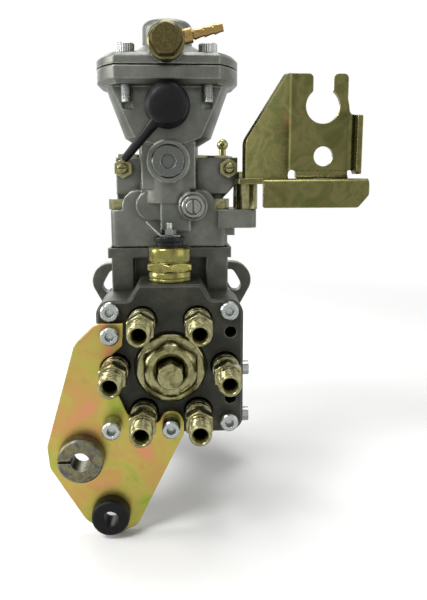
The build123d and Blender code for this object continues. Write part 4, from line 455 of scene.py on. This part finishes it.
def threadRows(start, end, radius, pitch, depth, around, rowsPerTurn=8):
    # helical ridge: the radius falls with the distance from the nearest crest of the helix, and the
    # ridge sinks away over the last part of a turn at both ends
    flank, crest, fade = 1.5, 0.25, 0.6 * pitch
    along = np.linspace(start, end, max(2, int(abs(end - start) / pitch * rowsPerTurn)))
    turnShare = np.linspace(0, 1, around, endpoint=False)
    phase = (along[:, None] / pitch - turnShare[None, :]) % 1.0
    ridge = np.clip(np.abs(2 * phase - 1) * flank - crest, 0, 1)
    runOut = np.clip(np.minimum(along - min(start, end), max(start, end) - along) / fade, 0, 1)
    radii = radius - depth * (1 - ridge) - depth * (1 - runOut)[:, None] * ridge
    return list(zip(along, radii))


def hexagonRadii(flats, around, turn):
    # distance from the axis to the side of a hexagon at each angle: half the flats / cos(angle from
    # the middle of the side)
    angles = np.linspace(0, 2 * math.pi, around, endpoint=False) + turn
    return flats / 2 / np.cos((angles + math.pi / 6) % (math.pi / 3) - math.pi / 6)


def hexagonRows(start, end, flats, around, turn):
    # hexagon whose corners are turned off by 30 degree cones at both ends
    sides = hexagonRadii(flats, around, turn)
    corner, least = flats / 2 / math.cos(math.pi / 6), flats / 2 * 0.97
    drop = (corner - least) * math.tan(math.radians(30))
    sign = 1 if end > start else -1
    steps = (0.0, 0.34, 0.67, 1.0)
    limits = [least + step * (corner - least) for step in steps]
    rows = [(start + sign * drop * step, np.minimum(sides, limit)) for step, limit in zip(steps, limits)]
    rows += [(end - sign * drop * step, np.minimum(sides, limit))
             for step, limit in zip(reversed(steps), reversed(limits))]
    return rows


def tubeSurface(path, radii, around):
    # tube round a line of points; its rings stay square to the line, and its ends close in a point
    tangents = np.gradient(path, axis=0)
    tangents /= np.linalg.norm(tangents, axis=1)[:, None]
    guide = np.cross(tangents, np.broadcast_to((0.0, 0.0, 1.0), tangents.shape))
    guide /= np.linalg.norm(guide, axis=1)[:, None]
    other = np.cross(tangents, guide)
    angles = np.linspace(0, 2 * math.pi, around, endpoint=False)[None, :, None]
    rings = np.cos(angles) * guide[:, None, :] + np.sin(angles) * other[:, None, :]
    return path[:, None, :] + radii[:, None, None] * rings


def roundedOutline(corners, pointsPerArc=6):
    # outline whose corners (x, y, radius) are replaced by short arcs that touch both sides
    places = np.array([corner[:2] for corner in corners], float)
    outline = []
    for index, (_, _, radius) in enumerate(corners):
        here = places[index]
        back, on = places[index - 1] - here, places[(index + 1) % len(corners)] - here
        back, on = back / np.linalg.norm(back), on / np.linalg.norm(on)
        if radius == 0:
            outline.append(here)
            continue
        half = math.acos(np.clip(back @ on, -1, 1)) / 2
        middle = here + (back + on) / np.linalg.norm(back + on) * radius / math.sin(half)
        first = here + back * radius / math.tan(half) - middle
        last = here + on * radius / math.tan(half) - middle
        for part in np.linspace(0, 1, pointsPerArc):
            spoke = first * (1 - part) + last * part
            outline.append(middle + spoke / np.linalg.norm(spoke) * radius)
    return np.array(outline)


def cutDistance(outline, holes, u, v):
    # distance to the edge of the cut sheet, negative in the metal
    nearest, inside = np.full(u.shape, np.inf), np.zeros(u.shape, bool)
    tiny = 1e-12  # keeps a side of no length from dividing by zero
    for (x0, y0), (x1, y1) in zip(outline, np.roll(outline, -1, axis=0)):
        spanX, spanY = x1 - x0, y1 - y0
        part = np.clip(((u - x0) * spanX + (v - y0) * spanY) / (spanX ** 2 + spanY ** 2 + tiny), 0, 1)
        nearest = np.minimum(nearest, np.hypot(u - x0 - part * spanX, v - y0 - part * spanY))
        if y0 != y1:
            inside ^= ((y0 > v) != (y1 > v)) & (u < spanX * (v - y0) / spanY + x0)
    signed = np.where(inside, -nearest, nearest)
    for x, y, radius in holes:
        signed = np.maximum(signed, radius - np.hypot(u - x, v - y))
    return signed


def cutSheet(outline, holes, step, fold, thickness):
    # Cut and folded sheet: the cells of a square grid that lie in the outline are kept, the points on
    # their border are moved on to the outline, and both skins and the rim are folded to their place.
    overlap, probe, rounds, leastLean = 0.35 * step, 0.05 * step, 3, 0.3
    low, high = outline.min(axis=0) - 2 * step, outline.max(axis=0) + 2 * step
    u, v = np.meshgrid(np.arange(low[0], high[0], step), np.arange(low[1], high[1], step), indexing="ij")
    near = cutDistance(outline, holes, u, v) < overlap
    kept = near[:-1, :-1] & near[1:, :-1] & near[1:, 1:] & near[:-1, 1:]
    padded = np.pad(kept, 1)
    whole = padded[:-1, :-1] & padded[1:, :-1] & padded[1:, 1:] & padded[:-1, 1:]
    used = padded[:-1, :-1] | padded[1:, :-1] | padded[1:, 1:] | padded[:-1, 1:]
    border = used & ~whole
    for _ in range(rounds):
        gap = cutDistance(outline, holes, u, v)
        leanU = (cutDistance(outline, holes, u + probe, v) - gap) / probe
        leanV = (cutDistance(outline, holes, u, v + probe) - gap) / probe
        size = np.maximum(np.hypot(leanU, leanV), leastLean)
        u, v = np.where(border, u - gap * leanU / size, u), np.where(border, v - gap * leanV / size, v)
    index = np.arange(u.size).reshape(u.shape)
    corners = [index[:-1, :-1], index[1:, :-1], index[1:, 1:], index[:-1, 1:]]
    beside = [padded[1:-1, :-2], padded[2:, 1:-1], padded[1:-1, 2:], padded[:-2, 1:-1]]
    front = np.stack([corner[kept] for corner in corners], axis=-1)
    faces = [front, front[:, ::-1] + u.size]
    for side in range(4):
        rim = kept & ~beside[side]
        start, end = corners[side][rim], corners[(side + 1) % 4][rim]
        faces.append(np.stack([end, start, start + u.size, end + u.size], axis=-1))
    faces = np.vstack(faces)
    points = np.concatenate([fold(u, v, 0.0).reshape(-1, 3), fold(u, v, thickness).reshape(-1, 3)])
    names, packed = np.unique(faces, return_inverse=True)
    return points[names], packed.reshape(faces.shape)


# Delivery valve holders: six turned fittings on a circle round the centre plug. The profiles, here and
# below, are rows of (place along the axis, radius).
holder = {
    "circle": 30.0, "count": 6, "tipY": -184.7, "around": 48, "hexTurn": 0.26,
    "mouth": [(26.7, 2.1), (6.0, 2.1), (4.2, 2.7), (0.25, 4.15), (0.0, 4.5), (0.0, 5.1), (0.5, 5.6)],
    "thread": {"start": 0.7, "end": 11.9, "radius": 6.0, "pitch": 1.75, "depth": 1.0},
    "undercut": [(12.1, 5.2), (14.3, 5.2), (14.7, 5.6)],
    "hexagon": {"start": 14.7, "end": 22.7, "flats": 14.0},
    "grooves": [(22.7, 6.3), (23.4, 6.3), (23.6, 6.9), (24.7, 6.9), (24.9, 6.3), (27.5, 6.3), (27.7, 6.6),
                (27.7, 7.2), (28.1, 7.5), (30.4, 7.5), (30.6, 7.2), (31.2, 7.2), (31.4, 7.5)],
    "shank": [(52.7, 7.5), (52.7, 4.0), (26.7, 4.0)]}
around = holder["around"]
holderRows = (holder["mouth"] + threadRows(**holder["thread"], around=around) + holder["undercut"]
              + hexagonRows(**holder["hexagon"], around=around, turn=holder["hexTurn"])
              + holder["grooves"] + holder["shank"])
holders = []
for index in range(holder["count"]):
    angle = 2 * math.pi * index / holder["count"]
    centre = (holder["circle"] * math.cos(angle), holder["tipY"], holder["circle"] * math.sin(angle))
    holders.append((turnedSurface(holderRows, around, centre, (0, 1, 0), (1, 0, 0), holder["hexTurn"]), True))
makePiece("deliveryHolders", holders, turnedChromate, "housing", ["delivery_valve_holders"])
print("delivery holders turned")

# Centre plug: a low hexagon whose corners are turned far back, shallow dish, flange and shank
plug = {
    "frontY": -158.5, "around": 144, "flats": 29.0, "turn": math.radians(30),
    "dish": [(22.5, 4.05), (2.2, 4.05), (1.9, 6.0), (1.3, 7.6), (0.5, 8.6), (0.12, 9.2), (0.0, 9.8)],
    "cornerLimits": [(0.0, 11.9), (0.15, 12.5), (0.5, 13.2), (1.1, 13.9), (1.9, 14.5), (2.9, 15.1),
                     (4.0, 15.7), (5.2, 16.2), (6.2, 16.5), (6.5, 16.7)],
    "flange": [(6.6, 17.3), (6.6, 18.0), (6.9, 18.6), (7.4, 18.95), (8.0, 19.0), (10.5, 19.0)],
    "shank": [(10.5, 17.5), (11.7, 17.5), (11.7, 12.0), (22.5, 12.0)]}
sides = hexagonRadii(plug["flats"], plug["around"], plug["turn"])
plugRows = plug["dish"] + [(along, np.minimum(sides, limit)) for along, limit in plug["cornerLimits"]]
plugRows += plug["flange"] + plug["shank"]
plugSurface = turnedSurface(plugRows, plug["around"], (0, plug["frontY"], 0), (0, 1, 0), (1, 0, 0),
                            plug["turn"])
makePiece("centrePlug", [(plugSurface, True)], turnedChromate, "housing", ["center_plug"])
print("centre plug turned")

# Solenoid: threaded spigot with its bore, seat ring, hexagon and drawn can with a rolled top
coilCan = {
    "y": -132.0, "seatZ": 45.5, "around": 72, "turn": math.radians(15),
    "spigot": [(7.3, 0.0), (7.3, 4.56), (-12.0, 4.56), (-12.0, 9.0)],
    "seatRing": [(0.0, 9.0), (0.0, 11.6), (0.3, 12.0), (1.6, 12.0), (1.8, 11.7), (2.2, 11.7), (2.4, 12.0),
                 (5.0, 12.0), (5.3, 11.8)],
    "hexagon": {"start": 5.3, "end": 10.8, "flats": 24.0},
    "can": [(10.8, 11.4), (11.5, 11.4), (11.6, 11.9), (11.9, 12.0), (17.6, 12.0), (18.4, 11.75),
            (18.95, 11.2), (19.2, 10.5)],
    "rolledTop": [(19.2, 9.9), (18.9, 9.7), (18.9, 9.0), (19.2, 8.8), (19.2, 0.0)]}
canRows = (coilCan["spigot"] + coilCan["seatRing"]
           + hexagonRows(**coilCan["hexagon"], around=coilCan["around"], turn=coilCan["turn"])
           + coilCan["can"] + coilCan["rolledTop"])
canSurface = turnedSurface(canRows, coilCan["around"], (0, coilCan["y"], coilCan["seatZ"]), (0, 0, 1),
                           (1, 0, 0), coilCan["turn"])
makePiece("solenoidCan", [(canSurface, False)], solenoidChromate, "housing", ["solenoid_body"])
print("solenoid can drawn")

# Cheese-head screws of the boost cover: knurled heads and threads that stand out below the flange
boostScrew = {
    "x": 22.0, "y": 20.0, "centreY": -108.0, "around": 48, "end": 142.0, "tipR": 2.2, "threadEnd": 158.0,
    "radius": 3.0, "pitch": 1.0, "threadDepth": 0.5, "seat": 166.8, "head": 5.5, "headR": 5.0,
    "knurls": 24, "knurlDepth": 0.14, "socketFlats": 5.0, "socketDepth": 3.0}
around, radius, end = boostScrew["around"], boostScrew["radius"], boostScrew["end"]
seat, top = boostScrew["seat"], boostScrew["seat"] + boostScrew["head"]
headR, socketFloor = boostScrew["headR"], top - boostScrew["socketDepth"]
turns = np.linspace(0, 2 * math.pi, around, endpoint=False)
knurl = headR - boostScrew["knurlDepth"] * (1 + np.cos(turns * boostScrew["knurls"]))
socket = hexagonRadii(boostScrew["socketFlats"], around, 0.0)
screwRows = [(end, 0.0), (end, boostScrew["tipR"]), (end + 0.5, radius - 0.3)]
screwRows += threadRows(end + 0.6, boostScrew["threadEnd"], radius, boostScrew["pitch"],
                        boostScrew["threadDepth"], around, rowsPerTurn=6)
screwRows += [(boostScrew["threadEnd"] + 0.5, radius), (seat, radius), (seat, headR - 0.4),
              (seat + 0.3, knurl), (top - 0.7, knurl), (top - 0.2, headR - 0.6), (top, headR - 1.1),
              (top, socket), (socketFloor, socket), (socketFloor, 0.0)]
screws = []
for sideX in (-1, 1):
    for sideY in (-1, 1):
        centre = (sideX * boostScrew["x"], boostScrew["centreY"] + sideY * boostScrew["y"], 0)
        screws.append((turnedSurface(screwRows, around, centre, (0, 0, 1), (1, 0, 0)), False))
makePiece("boostScrews", screws, brightZinc, "housing", ["boost_cover_screws"])
print("boost cover screws threaded")

# Return spring of the throttle: round wire wound round the shaft boss, its ends closed in a point that
# lies a hundredth of a step beyond the last ring
coil = {"centreY": -58.0, "low": 98.0, "high": 111.0, "radius": 14.0, "wire": 0.6, "turns": 4,
        "stepsPerTurn": 36, "aroundWire": 10, "pinch": 0.01}
share = np.linspace(0, 1, coil["stepsPerTurn"] * coil["turns"])
turn = 2 * math.pi * coil["turns"] * share
coilPath = np.stack([coil["radius"] * np.cos(turn), coil["centreY"] + coil["radius"] * np.sin(turn),
                     coil["low"] + (coil["high"] - coil["low"]) * share], axis=1)
coilRadii = np.full(len(share), coil["wire"])
coilRadii[[0, -1]] = 0.0
coilPath[0], coilPath[-1] = coilPath[1], coilPath[-2]
coilPath[0] -= (coilPath[2] - coilPath[1]) * coil["pinch"]
coilPath[-1] += (coilPath[-2] - coilPath[-3]) * coil["pinch"]
makePiece("throttleCoil", [(tubeSurface(coilPath, coilRadii, coil["aroundWire"]), False)], springWire,
          "housing", ["throttle_spring"])
print("throttle spring wound")

# Vent boot: domed cap with a rolled rim, and a drain tube that tapers down to the left along a curve
# of second degree, swollen where it leaves the cap
boot = {
    "z": 139.5, "frontY": -148.0, "around": 48,
    "cap": [(0.0, 0.0), (0.02, 3.0), (0.15, 6.0), (0.5, 8.2), (1.3, 9.7), (2.6, 10.6), (4.5, 10.9),
            (7.4, 10.9)],
    "rim": [(8.1, 11.2), (8.6, 11.9), (9.4, 12.2), (10.5, 12.2), (11.2, 11.8), (11.4, 11.0), (11.4, 0.0)],
    "root": (-2.0, -143.0, 136.0), "bend": (-12.5, -137.0, 124.0), "tip": (-25.0, -122.0, 111.5),
    "rings": 26, "aroundTube": 24, "tubeR": 3.0, "taper": 0.75, "swell": 0.455, "swellAt": 0.20,
    "swellWidth": 0.12, "tipShare": 0.93}
capSurface = turnedSurface(boot["cap"] + boot["rim"], boot["around"], (0, boot["frontY"], boot["z"]),
                           (0, 1, 0), (1, 0, 0))
share = np.linspace(0, 1, boot["rings"])
tubePath = (np.outer((1 - share) ** 2, boot["root"]) + np.outer(2 * share * (1 - share), boot["bend"])
            + np.outer(share ** 2, boot["tip"]))
swelling = boot["swell"] * np.exp(-((share - boot["swellAt"]) / boot["swellWidth"]) ** 2)
tubeRadii = boot["tubeR"] - boot["taper"] * share + swelling
tubeRadii[0], tubeRadii[-1], tubeRadii[-2] = 0.0, 0.0, tubeRadii[-3] * boot["tipShare"]
tube = tubeSurface(tubePath, tubeRadii, boot["aroundTube"])
makePiece("ventBoot", [(capSurface, False), (tube, False)], bootRubber, "housing", ["vent_boot"])
print("vent boot moulded")

# Cable bracket: back plate with its keyhole, gusset and side flange folded forward, base with a lip
tray = {"step": 0.8, "sheet": 3.0, "frontY": -106.0, "low": 98.5, "rightX": 111.0, "rightRadius": 2.5,
        "leftFold": 72.5, "leftRadius": 4.0, "leftAngle": math.radians(36), "leftX": 35.5, "topZ": 161.0,
        "keyX": 90.1, "keyZ": 143.0, "keyR": 10.0, "mouthHalf": 6.0, "mouthZ": 149.0, "hornEnd": 14.6,
        "flangeEnd": 120.0, "flangeLow": 104.0, "baseLeft": 74.5, "baseRight": 105.5, "baseRadius": 4.5,
        "lipRadius": 1.5, "baseDepth": 28.0, "lipHeight": 13.0, "sharpDegrees": 50}


def uprightFold(u, v, depth):
    # the ends beyond the two upright fold lines run round a bend and on towards the front
    sheet, middle = tray["sheet"], tray["sheet"] / 2
    x, y = u.copy(), np.full(u.shape, tray["frontY"] + depth)
    rightFold = tray["rightX"] - tray["rightRadius"] - sheet
    for fold, side, radius, angle in ((rightFold, 1, tray["rightRadius"], math.pi / 2),
                                      (tray["leftFold"], -1, tray["leftRadius"], tray["leftAngle"])):
        past = side * (u - fold)
        turned = np.clip(past / (radius + middle), 0, angle)
        straight = np.maximum(past - angle * (radius + middle), 0)
        outX = fold + side * ((radius + depth) * np.sin(turned) + straight * math.cos(angle))
        outY = tray["frontY"] - radius + (radius + depth) * np.cos(turned) - straight * math.sin(angle)
        x, y = np.where(past > 0, outX, x), np.where(past > 0, outY, y)
    return np.stack([x, y, v], axis=-1)


baseBend = (tray["baseRadius"] + tray["sheet"] / 2) * math.pi / 2
baseFlat = tray["baseDepth"] - tray["baseRadius"] - tray["lipRadius"] - tray["sheet"]
lipBend = (tray["lipRadius"] + tray["sheet"] / 2) * math.pi / 2
baseEnd = baseBend + baseFlat
lipEnd = baseEnd + lipBend + tray["lipHeight"] - tray["lipRadius"]


def baseFold(u, v, depth):
    # from the back plate round a wide bend to the base, then round a tight bend down into the lip
    sheet, wide, tight = tray["sheet"], tray["baseRadius"], tray["lipRadius"]
    turned = np.clip(v / (wide + sheet / 2), 0, math.pi / 2)
    flat = np.clip(v - baseBend, 0, baseFlat)
    rolled = np.clip((v - baseEnd) / (tight + sheet / 2), 0, math.pi / 2)
    down = np.maximum(v - baseEnd - lipBend, 0)
    under = tight + sheet - depth
    y = tray["frontY"] - wide + (wide + depth) * np.cos(turned) - flat - under * np.sin(rolled)
    z = tray["low"] + sheet + wide - (wide + depth) * np.sin(turned) - under * (1 - np.cos(rolled)) - down
    return np.stack([u, y, z], axis=-1)


def levelFold(u, v, depth):
    # the flat leg of the base, a hair thinner than the rest so that no two skins share a plane
    top, thinner = tray["low"] + tray["sheet"] - 0.03, 0.98
    return np.stack([u, v, np.full(u.shape, top - depth * thinner)], axis=-1)


# Outlines of the flat blanks: corners (across, up or forward, corner radius), and holes (across, up, radius)
key, low, bendTop = tray["keyX"], tray["low"] + 1.0, tray["low"] + tray["sheet"] + tray["baseRadius"]
left, right, top, mouth = tray["baseLeft"], tray["baseRight"], tray["topZ"], tray["mouthHalf"]
backOutline = roundedOutline([
    (71.0, low, 0), (tray["leftX"], low, 0), (tray["leftX"], 122.0, 8), (67.5, top, 4),
    (key - mouth, top, 2.6), (key - mouth, tray["mouthZ"], 0), (key + mouth, tray["mouthZ"], 0),
    (key + mouth, top, 2.6), (key + tray["hornEnd"], top, 2.6), (key + tray["hornEnd"], 147.0, 4),
    (106.5, 138.5, 3), (tray["flangeEnd"], 137.0, 1.5), (tray["flangeEnd"], tray["flangeLow"], 1.5),
    (right, tray["flangeLow"], 0), (right, bendTop, 0), (left, bendTop, 0), (left, low, 0)])
backHoles = [(key, tray["keyZ"], tray["keyR"]), (key + 0.9, 114.4, 5.75), (72.0, 103.4, 3.25),
             (107.6, 103.4, 3.0)]
baseOutline = roundedOutline([
    (left, 0.0, 0), (right, 0.0, 0), (right, baseBend, 1.5), (tray["rightX"], baseBend, 0),
    (tray["rightX"], lipEnd - 7, 2), (105.0, lipEnd, 2), (52.0, lipEnd, 1), (52.0, baseEnd, 0),
    (66.0, baseEnd, 0), (66.0, baseBend, 0), (left, baseBend, 1.5)])
legOutline = roundedOutline([
    (38.0, -134.0, 2), (52.0, -134.0, 0), (52.0, -129.6, 0), (66.0, -129.6, 0), (66.0, -103.0, 2),
    (52.0, -103.0, 2), (52.0, -80.0, 3), (41.2, -80.0, 3), (41.2, -103.0, 2), (38.0, -103.0, 1)])
legHoles = [(45.5, -109.0, 3.2), (45.5, -88.0, 3.2)]
trayPoints, trayFaces, first = [], [], 0
for outline, holes, fold in ((backOutline, backHoles, uprightFold), (baseOutline, [], baseFold),
                             (legOutline, legHoles, levelFold)):
    points, faces = cutSheet(outline, holes, tray["step"], fold, tray["sheet"])
    if enclosedVolume(points - points.mean(0), faces) < 0:
        faces = faces[:, ::-1]
    trayPoints.append(points * millimetre)
    trayFaces.append(faces + first)
    first += len(points)
addPiece("cableTray", np.vstack(trayPoints), np.vstack(trayFaces), foldedChromate, "housing",
         ["cable_bracket"], tray["sharpDegrees"])
print("cable bracket folded")

# Camera: straight in front of the outlets and a little above them
camera = {"place": (0.00508, -0.48776, 0.10106), "turn": (79.31997, 0.12480, -3.15354), "lens": 38.33,
          "sensorMm": 36, "nearest": 0.01}
lens = bpy.data.cameras.new("camera")
lens.lens = camera["lens"]
lens.sensor_width = camera["sensorMm"]
lens.clip_start = camera["nearest"]
viewer = bpy.data.objects.new("camera", lens)
viewer.location = camera["place"]
viewer.rotation_euler = [math.radians(value) for value in camera["turn"]]
scene.collection.objects.link(viewer)
scene.camera = viewer

# Studio: a pale floor and five square soft boxes (name, place, side and power)
studio = {"floorHalf": 6.0, "fadeStart": 0.30, "fadeEnd": 0.85, "worldLight": 0.30, "paper": "f4f4f3",
          "aim": (0.0, -0.09, 0.04),
          "lamps": [("keyBox", (-0.60, -0.70, 0.85), 0.45, 10.0), ("fillBox", (0.80, -0.55, 0.25), 0.6, 1.5),
                    ("topBox", (0.05, 0.10, 0.95), 0.5, 5.0), ("leftBox", (-0.95, -0.15, 0.30), 0.4, 5.0),
                    ("rearBox", (-0.3, 0.9, 0.5), 0.6, 4.0)]}
white = (1, 1, 1, 1)
lowest = min(corner[2] for corner in cadCorners)
floorMesh = bpy.data.meshes.new("floor")
half = studio["floorHalf"]
floorMesh.from_pydata([(-half, -half, lowest), (half, -half, lowest), (half, half, lowest),
                       (-half, half, lowest)], [], [(0, 1, 2, 3)])
floor = bpy.data.objects.new("floor", floorMesh)
scene.collection.objects.link(floor)


def backgroundRays(tree):
    # 1 where the camera, a gloss or a clear material looks at the background, 0 for the light it gives
    rays = addNode(tree, "ShaderNodeLightPath")
    seen = addNode(tree, "ShaderNodeMath", {0: rays.outputs["Is Camera Ray"],
                                            1: rays.outputs["Is Glossy Ray"]}, {"operation": "MAXIMUM"})
    seenAll = addNode(tree, "ShaderNodeMath", {0: seen.outputs[0], 1: rays.outputs["Is Transmission Ray"]},
                      {"operation": "MAXIMUM"})
    return seenAll.outputs[0]


# matt white paper floor that fades to the plain background away from the object
floorPaper, tree, place = startMaterial("floorPaper")
distance = addNode(tree, "ShaderNodeVectorMath", {0: place}, {"operation": "LENGTH"})
fade = addNode(tree, "ShaderNodeMapRange", {"Value": distance.outputs["Value"],
                                            "From Min": studio["fadeStart"], "From Max": studio["fadeEnd"]})
share = addNode(tree, "ShaderNodeMath", {0: fade.outputs["Result"], 1: backgroundRays(tree)}, product)
paper = addNode(tree, "ShaderNodeBsdfDiffuse", {"Color": linearColor(studio["paper"])})
plainWhite = addNode(tree, "ShaderNodeEmission", {"Color": white, "Strength": 1.0})
mixed = addNode(tree, "ShaderNodeMixShader", {0: share.outputs[0], 1: paper.outputs[0],
                                              2: plainWhite.outputs[0]})
addNode(tree, "ShaderNodeOutputMaterial", {"Surface": mixed.outputs[0]})
floorMesh.materials.append(floorPaper)

# the world: soft even light, seen as plain white
world = bpy.data.worlds.new("studioWorld")
world.use_nodes = True
tree = world.node_tree
tree.nodes.clear()
softLight = addNode(tree, "ShaderNodeBackground", {"Color": white, "Strength": studio["worldLight"]})
plainWhite = addNode(tree, "ShaderNodeBackground", {"Color": white, "Strength": 1.0})
mixed = addNode(tree, "ShaderNodeMixShader", {0: backgroundRays(tree), 1: softLight.outputs[0],
                                              2: plainWhite.outputs[0]})
addNode(tree, "ShaderNodeOutputWorld", {"Surface": mixed.outputs[0]})
scene.world = world

aim = np.array(studio["aim"])
for name, spot, size, power in studio["lamps"]:
    lampData = bpy.data.lights.new(name, "AREA")
    lampData.shape = "SQUARE"
    lampData.size = size
    lampData.energy = power
    lamp = bpy.data.objects.new(name, lampData)
    lamp.location = spot
    direction = aim - np.array(spot)
    flatReach = math.hypot(direction[0], direction[1])
    lamp.rotation_euler = (math.atan2(flatReach, -direction[2]), 0.0,
                           math.atan2(direction[1], direction[0]) - math.pi / 2)
    scene.collection.objects.link(lamp)

scene.view_settings.view_transform = "Standard"
print("studio set")
